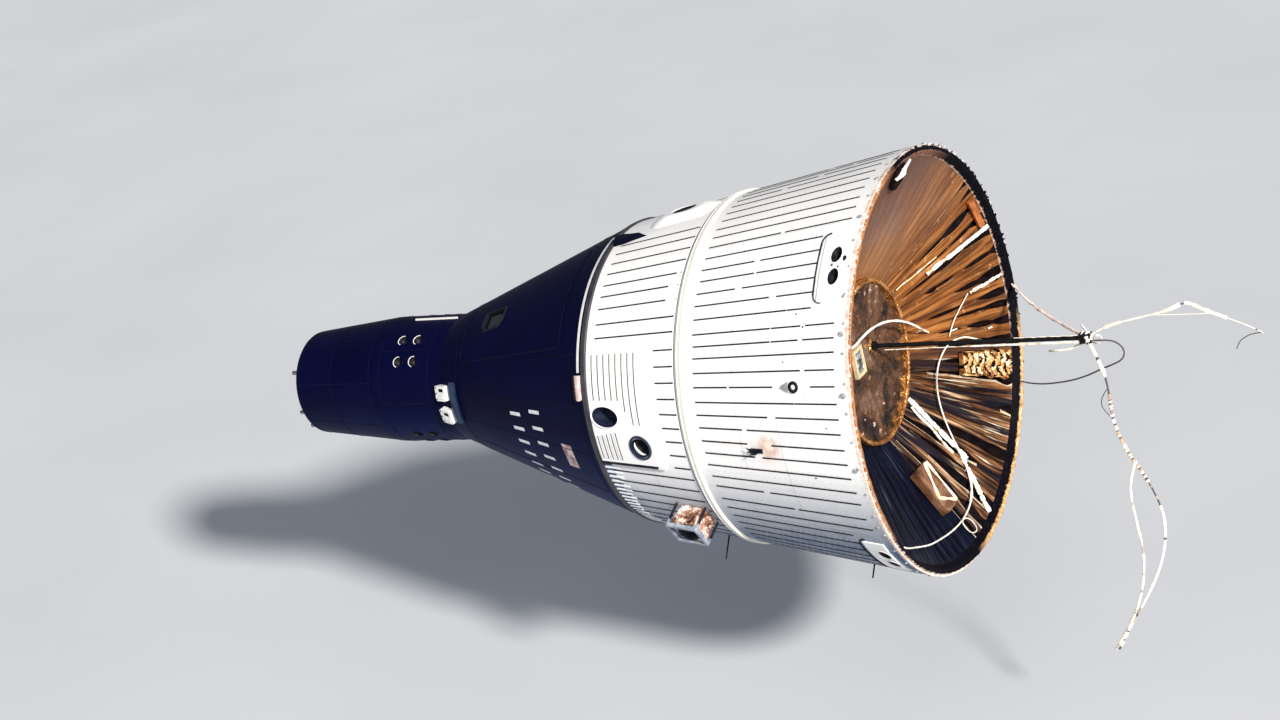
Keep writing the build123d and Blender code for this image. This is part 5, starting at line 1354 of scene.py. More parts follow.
# grey tail of the teardrop, greyer than the paint round it: painted shade on its slope
vs, fs = [], []
for k in range(13):
    t = k / 12
    half = 0.036 * (1 - t) ** 0.8 + 0.002
    for j in range(7):
        q = -1 + 2 * j / 6
        vs.append(tuple(o + xd * (0.040 + 0.072 * t) + td * (half * q) + n * (0.0008 + 0.012 * (1 - t) * (1 - q * q))))
for k in range(12):
    for j in range(6):
        fs.append((k * 7 + j, (k + 1) * 7 + j, (k + 1) * 7 + j + 1, k * 7 + j + 1))
make_obj("teardrop_tail", vs, fs, TAIL)

# ragged dark remains on the small side bracket
vs, fs = [], []
base_p = skin_pt(0.846, -1.9, ad_r(0.846))
n, xd, td = hull_axes(0.846, -1.9, AD_ANG)
for k in range(7):
    a = rng.uniform(-0.9, 0.9)
    L = rng.uniform(0.035, 0.075)
    o = base_p + xd * rng.uniform(-0.045, 0.030) + td * rng.uniform(-0.012, 0.012) + n * 0.011
    d = (n * 0.42 + xd * a * 0.8 - td * rng.uniform(-0.2, 0.9)).normalized()
    w = td * 0.007 + xd * 0.004
    e = n.cross(d).normalized() * 0.003
    b = len(vs)
    for s in (0.0, 0.5, 1.0):
        ww = w * (1.0 - 0.75 * s)
        cpt = o + d * L * s + n * (0.012 * s * (1 - s))
        vs += [tuple(cpt - ww - e), tuple(cpt + ww - e), tuple(cpt + ww + e), tuple(cpt - ww + e)]
    for s in range(2):
        for j in range(4):
            fs.append((b + s * 4 + j, b + s * 4 + (j + 1) % 4, b + (s + 1) * 4 + (j + 1) % 4, b + (s + 1) * 4 + j))
    fs.append((b + 8, b + 9, b + 10, b + 11))
make_obj("bracket_torn_strips", vs, fs, NOZZLE, smooth=False)

# ------------------------------------------------------------------ thermal curtain, pleated
R0, R1, X0, X1 = 1.440, 0.600, 0.040, 0.556
NP = 62
w = 0.65 + npr.rand(NP) * 0.8
edges = np.concatenate([[0], np.cumsum(w)]) / w.sum()
per = 20
NT = NP * per
NR = 62
psi = math.atan2(R0 - R1, X1 - X0)


def smooth_band(deg, c, half, soft):
    d = abs((deg - c + 180) % 360 - 180)
    return min(1.0, max(0.0, (half + soft - d) / soft))


pleat = []
for i in range(NP):
    mid = (edges[i] + edges[i + 1]) / 2 * 360 - 180
    right_side = smooth_band(mid, 181.0, 28.0, 8.0)
    low_right = smooth_band(mid, -124.0, 26.0, 8.0)
    low_left = smooth_band(mid, -55.0, 34.0, 8.0)
    top_right = smooth_band(mid, 148.0, 8.0, 10.0)
    fold = 0.0045 + 0.006 * right_side + 0.012 * low_right + 0.006 * low_left + 0.002 * npr.rand()
    gaps = []
    # bright strip along a gap edge of most lower-right pleats: painted highlight
    glint = 1 if (low_right > 0.3 and npr.rand() < 0.75) else 0
    if right_side > 0.4:
        for q in range(2 + int(npr.rand() * 2.6)):
            t0 = 0.02 + 0.60 * npr.rand() ** 1.3
            gaps.append((t0 + 0.10, 0.06 + 0.13 * npr.rand(), 0.20 + 0.26 * npr.rand(), 0.020))
        if npr.rand() < 0.85:
            gaps.append((0.03, 0.10 + 0.16 * npr.rand(), 0.40 + 0.28 * npr.rand(), 0.024))
    star = -161.0 < mid < -134.0
    if star and npr.rand() < 0.5:
        gaps.append((0.03, 0.08, 0.32, 0.016))
    if low_right > 0.3 and not star:
        gaps.append((0.30 + 0.35 * npr.rand(), 0.26 + 0.26 * npr.rand(), 0.52 + 0.30 * npr.rand(), 0.032))
        if npr.rand() < 0.6 and not star:
            gaps.append((0.04 + 0.1 * npr.rand(), 0.12 + 0.12 * npr.rand(), 0.45 + 0.30 * npr.rand(), 0.026))
    if 136.0 < mid < 143.5:
        gaps.append((0.36, 0.26, 0.13, 0.012))
    if top_right > 0.3 and npr.rand() < 0.4:
        gaps.append((0.04, 0.09, 0.34, 0.014))
    pleat.append((fold, gaps, npr.uniform(-0.10, 0.10), npr.rand(), glint))

pid = np.repeat(np.arange(NP), per)
kk = np.tile(np.arange(per) / per, NP)
theta = (edges[pid] + (edges[pid + 1] - edges[pid]) * kk) * 2 * math.pi - math.pi
ph = kk
phase = npr.rand(6) * 6.28
rows_v, dark_at, glint_at = [], [], []
core = (kk >= 0.2499) & (kk < 0.7499)
lipc = (kk >= 0.7499) & (kk < 0.8499)
for j in range(NR + 1):
    t = j / NR
    r = R0 + (R1 - R0) * t
    x = X0 + (X1 - X0) * t
    h = np.zeros(NT)
    u_all = np.zeros(NT)
    isdark = np.zeros(NT, bool)
    isglint = np.zeros(NT, bool)
    ends = min(1.0, t / 0.05) * min(1.0, (1.0 - t) / 0.06)
    for i in range(NP):
        fold, gaps, shift, rnd, glint = pleat[i]
        a, b = i * per, (i + 1) * per
        q_ = kk[a:b]
        g = 0.0
        D = 0.0
        for (tc, hl, wd, dep) in gaps:
            q = 1.0 - ((t - tc) / hl) ** 2
            if q > 0:
                gg = wd * (0.85 + 0.15 * math.sin(9 * t + rnd * 20)) * q ** 0.8
                if gg > g:
                    g, D = gg, dep * min(1.0, gg / 0.22)
        ge = max(g, 0.06)
        cen = 0.5 + shift * math.sin(3.0 * t + rnd * 6)
        lo_, hi_ = cen - ge / 2, cen + ge / 2
        u = np.interp(q_, [0.0, 0.25, 0.75, 1.0], [0.0, lo_, hi_, 1.0])
        d = np.clip(np.abs((u - cen) / np.where(u < cen, cen, 1 - cen)), 0, 1)
        gd = ge / 2 / max(cen, 1 - cen)
        base = -fold * (1.0 - d) ** 1.4 + 0.0022 * np.sin(2 * math.pi * (2.0 * u + rnd) + 4.0 * t)
        if g > 0.02:
            loc = np.clip((u - lo_) / ge, 0, 1) * 2 - 1
            deep = -D * np.sqrt(np.clip(1 - loc ** 2, 0, 1))
            lift_ = 0.0045 * np.sin(math.pi * np.clip((d - gd) / max(0.05, 1 - gd), 0, 1)) * min(1.0, g / 0.2)
            hv = base + np.where(core[a:b], deep, lift_)
            isdark[a:b] = g > 0.05
            isglint[a:b] = bool(glint) and g > 0.10
        else:
            hv = base
        h[a:b] = hv
        u_all[a:b] = u
    th0 = (edges[pid] + (edges[pid + 1] - edges[pid]) * u_all) * 2 * math.pi - math.pi
    sag = 0.010 * math.sin(math.pi * t) * np.sin(th0 * 3 + phase[0]) + 0.005 * np.sin(th0 * 7 + phase[1] + 3 * t)
    crumple = np.array([mnoise.noise(Vector((math.cos(q) * 5.0, math.sin(q) * 5.0, t * 5.0))) for q in th0[::4]])
    crumple = np.interp(np.arange(NT), np.arange(0, NT, 4), crumple)
    h = (h + 0.6 * sag + 0.006 * crumple) * ends - 0.004
    blend_ = min(1.0, j / 3.0)
    th = (theta * (1 - blend_) + th0 * blend_) + 0.008 * np.sin(th0 * 5 + phase[2]) * math.sin(math.pi * t)
    xx = x - math.sin(psi) * h
    rr_ = r - math.cos(psi) * h
    rows_v.append(np.stack([xx, rr_ * np.cos(th), rr_ * np.sin(th)], 1))
    dark_at.append(isdark & core)
    glint_at.append(isglint & lipc)
V = np.concatenate(rows_v)
jj, ii = np.meshgrid(np.arange(NR), np.arange(NT), indexing="ij")
i2 = (ii + 1) % NT
F = np.stack([jj * NT + ii, (jj + 1) * NT + ii, (jj + 1) * NT + i2, jj * NT + i2], -1).reshape(-1, 4)
DK, GL = np.array(dark_at), np.array(glint_at)
# faces in the pleat gaps take the near-black film, painted shadow in the deep valleys; glint faces along one gap edge
# take the bright film, painted highlight
fm0 = np.where(DK[jj, ii] | DK[jj + 1, ii], 1, np.where(GL[jj, ii] & GL[jj + 1, ii], 3, 0)).reshape(-1)
# gathered outer edge, turned up over the ring's flange
hem0 = len(V)
hem = []
HP = [(0.030, 1.450), (0.017, 1.460), (0.005, 1.4675), (-0.004, 1.4725), (-0.0085, 1.479), (-0.0095, 1.487),
      (-0.0075, 1.495), (-0.0040, 1.502), (-0.0022, 1.507)]
for n_, (x, r) in enumerate(HP):
    k_ = min(1.0, n_ / 4)
    wob = np.array([mnoise.noise(Vector((math.cos(q) * 30.0, math.sin(q) * 30.0, n_ * 0.8))) for q in theta[::2]])
    wob = np.interp(np.arange(NT), np.arange(0, NT, 2), wob)
    fine_ = np.sin(pid * 2.7 + ph * 6.28) * 0.0012
    out = 0.0035 * k_ * (0.5 + wob) + fine_ * k_
    hem.append(np.stack([x - np.abs(out) * (1 if n_ > 2 else 0.3), (r + 0.0030 * wob * (n_ >= 6)) * np.cos(theta),
                         (r + 0.0030 * wob * (n_ >= 6)) * np.sin(theta)], 1))
V = np.concatenate([V] + hem)
rows = [0] + [hem0 + k * NT for k in range(len(HP))]
HF = []
for a, b in zip(rows[:-1], rows[1:]):
    q = np.arange(NT)
    q2 = (q + 1) % NT
    HF.append(np.stack([b + q, a + q, a + q2, b + q2], -1))
F2 = np.concatenate([F] + HF)
fm = np.concatenate([fm0, np.full(sum(len(h) for h in HF), 2)])
curtain = make_obj("thermal_curtain_film", V.tolist(), F2.tolist(), [CURTAIN, GAP, HEM, GLINT],
                   face_mat=[int(q) for q in fm])
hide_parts("thermal_curtain")


def cur_pt(x, c, lift=0.0):
    """Point on the open side of the curtain."""
    a = math.radians(c)
    r = R0 + (R1 - R0) * (x - X0) / (X1 - X0)
    n = Vector((-math.sin(psi), -math.cos(psi) * math.cos(a), -math.cos(psi) * math.sin(a)))
    return Vector((x, r * math.cos(a), r * math.sin(a))) + n * lift


# taut tapes laid over the curtain
tape_parts, tape_fm = [], []
for n_, (a, b, wd, tw) in enumerate((((0.53, -131.0), (0.215, -117.0), 0.040, 0.1), ((0.240, -116.5), (0.045, -104.5), 0.040, 0.1),
                                     ((0.372, 158.0), (0.045, 159.5), 0.034, 0.2), ((0.52, 150.5), (0.305, 154.0), 0.013, 1.0),
                                     ((0.211, 177.8), (0.05, 176.8), 0.026, 0.2), ((0.51, -126.5), (0.28, -115.5), 0.022, 0.2))):
    A, B_ = cur_pt(a[0], a[1], 0.0185), cur_pt(b[0], b[1], 0.0185)
    nn = cur_pt((a[0] + b[0]) / 2, (a[1] + b[1]) / 2, 1.0) - cur_pt((a[0] + b[0]) / 2, (a[1] + b[1]) / 2, 0.0)
    sd_ = (B_ - A).cross(nn).normalized()
    P = []
    m_ = 90
    for k in range(m_ + 1):
        u = k / m_
        P.append(A + (B_ - A) * u + sd_ * (0.010 * mnoise.noise(Vector((u * 3.0, n_ * 3.0, 1.0))))
                 + nn * (0.004 * mnoise.noise(Vector((u * 6.0, n_ * 3.0, 5.0)))))
    pat = patches(30.0 + n_, 9.0, -0.28, 0.55)
    if n_ == 3:
        def pat(u):
            return (0.8, 1 if mnoise.noise(Vector((u * 8.0, 3.0, 1.0))) > -0.2 else 0)
    vs, fs, fm_ = ribbon("t", P, wd, 0.009, 40.0 + n_, [], pat, tw, 0.35, raw=True)
    tape_parts.append((vs, fs))
    tape_fm += fm_
for n_, (A, B_, wd) in enumerate(((Vector((-1.045, -0.0115, 0.0915)), Vector((-0.235, -0.0115, 0.0915)), 0.019),
                                  (Vector((-1.040, -0.030, 0.1325)), Vector((-0.560, -0.036, 0.1300)), 0.007),
                                  (Vector((-0.235, -0.0115, 0.0915)), Vector((0.420, -0.0105, 0.0880)), 0.008))):
    P = [A + (B_ - A) * (k / 100) + Vector((0, 0.0025, 0.0040)) * mnoise.noise(Vector((k * 0.11, n_ * 3.0, 9.0))) for k in range(101)]
    vs, fs, fm_ = ribbon("b", P, wd, 0.006, 46.0 + n_, [], patches(48.0 + n_, 12.0, -0.25, 0.6), 1.0, 0.5, raw=True)
    tape_parts.append((vs, fs))
    tape_fm += [0 if q == 0 else 1 for q in fm_]
ST = [cur_pt(0.222, 177.6, 0.020), cur_pt(0.256, -179.6, 0.020), cur_pt(0.290, -176.2, 0.020), cur_pt(0.320, -172.6, 0.020),
      cur_pt(0.342, -167.4, 0.022)]
for n_, (P, wd) in enumerate(((follow("s", ST), 0.009), ([cur_pt(0.135 + 0.02 * k / 10, -167.5 + 0.3 * k / 10, 0.022) for k in range(11)], 0.014),
                              ([cur_pt(0.300 + 0.03 * k / 10, -170.0 + 0.3 * k / 10, 0.020) for k in range(11)], 0.012),
                              ([cur_pt(0.470 + 0.02 * k / 10, -174.4 + 0.3 * k / 10, 0.018) for k in range(11)], 0.011))):
    vs, fs, fm_ = ribbon("s", P, wd, 0.006, 90.0 + n_, [], lambda u: (0.9, 0), 0.0, 0.3, raw=True)
    tape_parts.append((vs, fs))
    tape_fm += [0] * len(fs)
v_, f_ = join(tape_parts)
tt = make_obj("taut_curtain_tapes", v_, f_, [TAPE, TAPE_GOLD], face_mat=tape_fm)
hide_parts("taut_tapes")

# loose gold strips zigzagging over the two lower-right boxes
vs, fs = [], []
nu, nv = 54, 20
for i in range(nu + 1):
    u = i / nu
    for j in range(nv + 1):
        q = j / nv
        zx = 0.300 - 0.232 * u
        cc = -160.0 + 9.6 * q
        zig = abs(((u * 9.0 + 0.25 * math.sin(q * 5)) % 1.0) * 2 - 1)
        lift = 0.043 + 0.022 * zig + 0.006 * mnoise.noise(Vector((u * 9, q * 5, 2.0)))
        if j in (0, nv) or i in (0, nu):
            lift = 0.014
        vs.append(tuple(cur_pt(zx, cc + 0.8 * mnoise.noise(Vector((u * 7, 1.0, 2.0))), lift)))
zm = []
for i in range(nu):
    for j in range(nv):
        a = i * (nv + 1) + j
        fs.append((a, a + 1, a + nv + 2, a + nv + 1))
        u, q = (i + 0.5) / nu, (j + 0.5) / nv
        ph_z = (u * 7.0 + abs(((q * 1.5) % 1.0) * 2 - 1) * 0.9 + 0.5 * mnoise.noise(Vector((u * 5, q * 4, 8.0)))) % 1.0
        edge_ = j < 2 or j > nv - 3 or i < 2 or i > nu - 3
        zm.append(0 if (ph_z < 0.46 and not edge_) else (2 if ph_z < 0.70 else 1))
zz_ = make_obj("zigzag_foil_strips", vs, fs, [ZIG, GAP, HOOP], smooth=False, face_mat=zm)

# bright folded edges of the big box
parts = []
EA, EB, EC = Vector((0.3240, -0.0800, -0.8300)), Vector((0.1950, 0.0900, -1.0440)), Vector((0.1400, -0.0760, -1.1340))
for n_, (A, B_, wd) in enumerate(((EA, EC, 0.020), (EA + Vector((0.004, 0.020, 0.0)), EB, 0.024), (EB, EC, 0.028))):
    P = [A + (B_ - A) * (k / 30) + Vector((-0.006, 0.0, 0.003)) for k in range(31)]
    vs, fs, _ = ribbon("e", P, wd, 0.007, 50.0 + n_, [], lambda u: (0.85 + 0.25 * math.sin(9 * u), 0), 0.0, 0.35, raw=True)
    parts.append((vs, fs))
v_, f_ = join(parts)
make_obj("box_bright_edges", v_, f_, GLINT2)

# pale curled piece over the dark opening at the top
P = [cur_pt(0.014, 95.2, 0.040), cur_pt(0.018, 93.8, 0.048), cur_pt(0.030, 92.6, 0.048), cur_pt(0.044, 92.4, 0.046),
     cur_pt(0.058, 92.0, 0.044), cur_pt(0.068, 90.4, 0.042), cur_pt(0.073, 88.6, 0.038)]
C = follow("curl", P)
vs, fs, _ = ribbon("c", C, 0.046, 0.007, 60.0, [], lambda u: (0.40 + 0.75 * math.exp(-((u - 0.68) / 0.24) ** 2), 0), 0.0, 0.7, raw=True)
make_obj("opening_pale_curl", vs, fs, NOZZLE_WHITE)
# dark patch of film over the opening at the top: painted shade of the hollow beneath
vs, fs = [], []
for k in range(25):
    a = 2 * math.pi * k / 24
    rr2 = 1.0 + 0.22 * mnoise.noise(Vector((math.cos(a) * 2, math.sin(a) * 2, 4.0)))
    for sc_, lf in ((0.0, 0.0325), (0.75, 0.0322), (1.0, 0.031), (1.12, 0.012)):
        vs.append(tuple(cur_pt(0.088 + 0.052 * sc_ * rr2 * math.cos(a), 93.5 + 4.3 * sc_ * rr2 * math.sin(a), lf)))
for k in range(24):
    for i in range(3):
        fs.append((k * 4 + i, (k + 1) * 4 + i, (k + 1) * 4 + i + 1, k * 4 + i + 1))
make_obj("opening_painted_shade_patch", vs, fs, GAP)

# crumpled lip of film along the rim
vs, fs = [], []
NS, M = 420, 7
for k in range(NS):
    a = 2 * math.pi * k / NS
    wv = mnoise.noise(Vector((math.cos(a) * 9, math.sin(a) * 9, 0.3)))
    wv2 = mnoise.noise(Vector((math.cos(a) * 31, math.sin(a) * 31, 4.3)))
    deg = math.degrees(a)
    big = 1.0 + 0.75 * smooth_band(deg, -126.0, 34.0, 14.0) - 0.25 * smooth_band(deg, 30.0, 60.0, 20.0)
    rc = 1.4990 + 0.003 * wv + 0.002 * (big - 1.0)
    xc = -0.0085 - 0.003 * (big - 1.0)
    for j in range(M):
        b = math.pi * 2 * j / M
        rad = 0.0065 * big * (1.0 + 0.40 * wv2 + 0.22 * math.sin(k * 1.7 + j * 2.0))
        r = rc + rad * 1.1 * math.cos(b)
        vs.append((min(-0.0006, xc + rad * math.sin(b)), r * math.cos(a), r * math.sin(a)))
for k in range(NS):
    k2 = (k + 1) % NS
    for j in range(M):
        j2 = (j + 1) % M
        fs.append((k * M + j, k2 * M + j, k2 * M + j2, k * M + j2))
make_obj("rim_crumpled_lip", vs, fs, HEM)

# ------------------------------------------------------------------ centre disc, crinkled
NR2, NT2 = 46, 240
vs, fs = [], []
vs.append((X1 - 0.004, 0.0, 0.0))
for j in range(1, NR2 + 1):
    r = 0.566 * j / NR2
    for k in range(NT2):
        a = 2 * math.pi * k / NT2
        y, z = r * math.cos(a), r * math.sin(a)
        e = r / 0.566
        wr = 0.0
        wr += 0.012 * mnoise.noise(Vector((y * 5, z * 5, 1.0)))
        wr += 0.010 * (1 - abs(mnoise.noise(Vector((y * 9, z * 9, 7.0))) * 2)) * 0.6
        wr += e ** 2 * 0.010 * math.sin(a * 34 + 3 * mnoise.noise(Vector((y * 4, z * 4, 2.0))))
        wr += e ** 3 * 0.006 * math.sin(a * 71 + 1.3)
        wr += 0.008 * (1 - abs(mnoise.noise(Vector((y * 14, z * 14, 3.0))) * 2.2)) - 0.003
        wr = max(-0.004, min(0.030, wr * 1.2 + 0.005))
        # lies flat under the square fixture
        fy, fz = max(0.0, abs(y - 0.190) - 0.090), max(0.0, abs(z - 0.088) - 0.120)
        near_fix = max(0.0, 1.0 - math.hypot(fy, fz) / 0.045)
        wr = wr * (1 - near_fix) - 0.0015 * near_fix
        vs.append((X1 - 0.003 - wr, y, z))
for k in range(NT2):
    fs.append((0, 1 + (k + 1) % NT2, 1 + k))
for j in range(NR2 - 1):
    for k in range(NT2):
        k2 = (k + 1) % NT2
        a0, a1 = 1 + j * NT2, 1 + (j + 1) * NT2
        fs.append((a0 + k, a0 + k2, a1 + k2, a1 + k))
disc = make_obj("centre_disc_foil", vs, fs, DISC)

# bright crumpled hoop round the disc
vs, fs = [], []
NS, M = 300, 8
for k in range(NS):
    a = 2 * math.pi * k / NS
    w1 = mnoise.noise(Vector((math.cos(a) * 7, math.sin(a) * 7, 9.3)))
    w2 = mnoise.noise(Vector((math.cos(a) * 40, math.sin(a) * 40, 2.3)))
    for j in range(M):
        b = math.pi * 2 * j / M
        rad = 0.015 * (1.0 + 0.35 * w2 + 0.3 * math.sin(k * 2.3 + j))
        r = 0.584 + 0.006 * w1 + rad * math.cos(b)
        vs.append((0.512 + 0.004 * w1 + rad * math.sin(b), r * math.cos(a), r * math.sin(a)))
for k in range(NS):
    k2 = (k + 1) % NS
    for j in range(M):
        j2 = (j + 1) % M
        fs.append((k * M + j, k2 * M + j, k2 * M + j2, k * M + j2))
make_obj("disc_gold_hoop", vs, fs, HOOP)

# ------------------------------------------------------------------ foil-wrapped lower thrusters
def wrapped(c, seed):
    n, xd, td = hull_axes(1.62, c, AD_ANG)
    o = skin_pt(1.62, c, ad_r(1.62))
    vs, fs = [], []
    seg, lev = 88, 26
    for j in range(lev + 1):
        t = j / lev
        for k in range(seg):
            a = 2 * math.pi * k / seg
            ca, sa = math.cos(a), math.sin(a)
            p = 4.0
            s = (abs(ca) ** p + abs(sa) ** p) ** (-1 / p)
            la, lb = 0.112 + 0.016 * t, 0.092 + 0.014 * t
            close = 1.0 - 0.34 * max(0.0, (t - 0.84) / 0.16) ** 2
            q = Vector((s * ca * la * close, s * sa * lb * close, 0.002 + 0.138 * min(1.0, t / 0.84)))
            if t > 0.84:
                q.z = 0.140 + 0.006 * (t - 0.84) / 0.16
            dn = mnoise.noise(Vector((ca * 3.1, sa * 3.1, t * 4 + seed)))
            dm = abs(mnoise.noise(Vector((ca * 7, sa * 7, t * 8 + seed)))) * 2 - 0.5
            df = abs(mnoise.noise(Vector((ca * 17, sa * 17, t * 19 + seed)))) * 2 - 0.5
            k1 = 1.0 - 0.20 * dm - 0.08 * dn - 0.05 * df
            q.x *= min(1.06, k1)
            q.y *= min(1.06, k1)
            q.z *= 1.0 + 0.22 * max(0.0, 0.6 * sa - 0.5 * ca)
            q.z = max(0.002, q.z + (0.012 * dn if t > 0.15 else 0))
            vs.append(tuple(o + xd * q.x + td * q.y + n * q.z))
    for j in range(lev):
        for k in range(seg):
            k2 = (k + 1) % seg
            fs.append((j * seg + k, j * seg + k2, (j + 1) * seg + k2, (j + 1) * seg + k))
    bell = lathe([(0.022, 0.118), (0.044, 0.128), (0.054, 0.142), (0.066, 0.182), (0.071, 0.184), (0.0715, 0.180),
                  (0.061, 0.142), (0.050, 0.120)], o, n, xd, 40)
    return (vs, fs), bell


w1, b1 = wrapped(-33, 0.0)
w2, b2 = wrapped(213, 5.0)
v_, f_ = join([w1, w2])
wr = make_obj("foil_wrap_lower_thrusters", v_, f_, COPPER, smooth=False)
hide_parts("foil_wrapped_thrusters")
v_, f_ = join([b1, b2])
make_obj("lower_thruster_bells", v_, f_, NOZZLE)

# ------------------------------------------------------------------ cabin: stripe, joint details, seams, markings
stripe = Batch()
stripe.arc(2.320, 0.024, 23.0, 84.0, cb_r, 0.0010, 0.0020, 1.0)
stripe.build("white_joint_stripe", SENSOR, slot="sensor_white")
seams = Batch()
for x in (2.345, 3.725, 3.925):
    seams.arc(x, 0.005, -180, 180, cb_r, 0.0006, 0.0016, 2.0)
for c in range(-160, 30, 20):
    seams.line(2.36, 3.72, c + 10, 0.005, cb_r, 0.0006, 0.0016)
for x in (4.05, 4.50):
    seams.arc(x, 0.005, -180, 180, rcs_r, 0.0006, 0.0016, 3.0)
for x in (4.60, 5.00, 5.32):
    seams.arc(x, 0.005, -180, 180, nose_r, 0.0006, 0.0016, 3.0)
for c in (0, 49.2, 90, 131, 180, 229, 270, 311):
    seams.line(4.06, 4.49, c, 0.005, rcs_r, 0.0006, 0.0016)
for c in (20, 65, 110, 155, 200, 245, 290, 335):
    seams.line(4.61, 5.31, c, 0.005, nose_r, 0.0006, 0.0016)
SEAM = plain("shingle_seam", (0.0022, 0.0032, 0.0130), (0.0050, 0.0070, 0.0240), 0.6, 0.0, 12.0, 150.0, 0.2, 0.001, 0.08)
seams.build("hull_seams", SEAM, slot="black_shingle")

# plain white dashes on the left side, two rows
bars = Batch()
for k in range(8):
    for row, x in ((0, 3.08), (1, 2.86)):
        cc = 2.7 - 8.4 * k + (2.6 if row else 0.0)
        dc = math.degrees(0.014 / cb_r(x))
        bars.slab(x - 0.055, x + 0.055, cc - dc, cc + dc, cb_r, 0.0008, 0.0012, 2, 2)
bars.build("plain_white_dashes", MARK, slot="sensor_white")
patch = Batch()
patch.slab(2.545, 2.645, -20.0, -8.0, cb_r, 0.0008, 0.0010, 2, 8)
PATCH = plain("faded_plain_patch", (0.16, 0.070, 0.075), (0.62, 0.50, 0.50), 0.6, 0.0, 15.0, 160.0, 0.1, 0.0005, 0.2,
              dust=(0.030, 0.024, 0.050))
patch.build("plain_pale_patch", PATCH, slot="sensor_white")

# hatch furniture: edge strips and window frames, ride with each hatch
for side, body in ((1, HL), (-1, HR)):
    cc = 60.0 if side > 0 else 120.0
    n, xd, td = hull_axes(3.37, cc, CB_ANG)
    o = skin_pt(3.37, cc, cb_r(3.37))
    flip = 1 if side > 0 else -1
    out = [(-0.112, -0.066), (0.112, -0.078), (0.112, 0.030), (0.070, 0.084), (-0.070, 0.084), (-0.112, 0.036)]
    vs, fs = [], []
    cx, cy = 0.0, 0.002
    for (px, py) in out:
        for s, h in ((0.985, -0.030), (0.985, 0.006), (1.04, 0.009), (1.16, 0.008), (1.20, 0.001)):
            qx, qy = cx + (px - cx) * s, cy + (py - cy) * s
            drop = (qy ** 2) / (2 * cb_r(3.37)) if h > -0.01 else 0.0
            vs.append(tuple(o + xd * qx + td * (qy * flip) + n * (h - drop)))
    m5 = 5
    for k in range(6):
        k2 = (k + 1) % 6
        for i in range(m5 - 1):
            q = (k * m5 + i, k2 * m5 + i, k2 * m5 + i + 1, k * m5 + i + 1)
            fs.append(q if flip > 0 else q[::-1])
    make_obj("window_frame_%s" % ("left" if side > 0 else "right"), vs, fs, FRAME_DARK, body=body, smooth=False)
    rim = Batch()
    for (x0, x1, c0, c1) in ((2.530, 2.542, 33.5, 84.0), (3.672, 3.684, 36.0, 78.0)):
        lo, hi = (c0, c1) if side > 0 else (180 - c1, 180 - c0)
        rim.slab(x0, x1, lo, hi, cb_r, 0.0006, 0.0022, 1, 20)
    lo = 33.3 if side > 0 else 180 - 33.3
    rim.line(2.55, 3.66, lo, 0.008, cb_r, 0.0006, 0.0022)
    rim.build("hatch_edge_beads_%s" % ("left" if side > 0 else "right"), SEAM, body=body, slot="black_shingle")

# ------------------------------------------------------------------ nose: dark thruster cups; the crescents on their lips are painted highlight, white on the upper cups and grey as painted shade on the lower ones
cups_v, cups_f, cups_m = [], [], []
cres, cres_low = [], []
for x in (4.184, 4.325):
    for c0 in (60.0, 38.4):
        for c in (c0, 180 - c0, 180 + c0, 360 - c0):
            n, xd, td = hull_axes(x, c)
            o = skin_pt(x, c, 0.491)
            prof = [(0.0, -0.050), (0.020, -0.050), (0.0385, -0.004), (0.0395, 0.0012), (0.0430, 0.0020), (0.0480, 0.0008),
                    (0.0480, -0.006)]
            vs, fs = lathe(prof, o, n, xd, 36)
            b = len(cups_v)
            cups_v += vs
            for k, q in enumerate(fs):
                cups_f.append(tuple(i + b for i in q)[::-1])
                i = k % (len(prof) - 1)
                cups_m.append(0 if i < 3 else 1)
            arc = lathe([(0.0375, 0.0010), (0.0385, 0.0036), (0.0425, 0.0040), (0.0440, 0.0014)], o, n, xd, 24, -105, 80)
            (cres if 0 < c < 180 else cres_low).append(arc)
nc = make_obj("nose_thruster_cups", cups_v, cups_f, [NOZZLE, SHINGLE], face_mat=cups_m)
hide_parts("nose_thruster_nozzles")
v_, f_ = join(cres)
make_obj("nose_cup_painted_highlight_lips", v_, f_, NOZZLE_WHITE)
v_, f_ = join(cres_low)
make_obj("nose_cup_painted_shade_lips", v_, f_, NOZZLE_GREY)

# sensor boxes: dark linings of the two notches, painted shadow inside them, small clips
det = []
clips = []
caps = []
for c in (10.4, -9.4):
    n, xd, td = hull_axes(3.872, c, CB_ANG)
    o = skin_pt(3.872, c, cb_r(3.872)) + n * 0.051
    caps.append(((vs_c := [tuple(o + xd * (-0.014 + u) + td * (0.024 + q) + n * h) for h in (0.0004, 0.0042)
                           for (u, q) in ((-0.030, -0.016), (0.030, -0.014), (0.027, 0.016), (-0.028, 0.015))]),
                 [(4, 5, 6, 7), (0, 1, 5, 4), (1, 2, 6, 5), (2, 3, 7, 6), (3, 0, 4, 7)]))
    for dy in (-0.026,):
        hx_, hy_ = 0.0245, 0.0115
        ring = [(-hx_, -hy_), (hx_, -hy_), (hx_, hy_), (-hx_, hy_)]
        vs, fs = [], []
        for (u, q) in ring:
            for h in (0.0012, -0.0225):
                vs.append(tuple(o + xd * (-0.014 + u) + td * (dy + q) + n * h))
        for k in range(4):
            k2 = (k + 1) % 4
            fs.append((k * 2, k2 * 2, k2 * 2 + 1, k * 2 + 1))
        fs.append((1, 3, 5, 7))
        det.append((vs, fs))
    for (dx, dy) in ((0.044, 0.045), (0.044, -0.046), (0.044, 0.0)):
        clips.append(lathe([(0.0, 0.006), (0.006, 0.006), (0.008, 0.0)], o + xd * dx + td * dy, n, xd, 8))
v_, f_ = join(det)
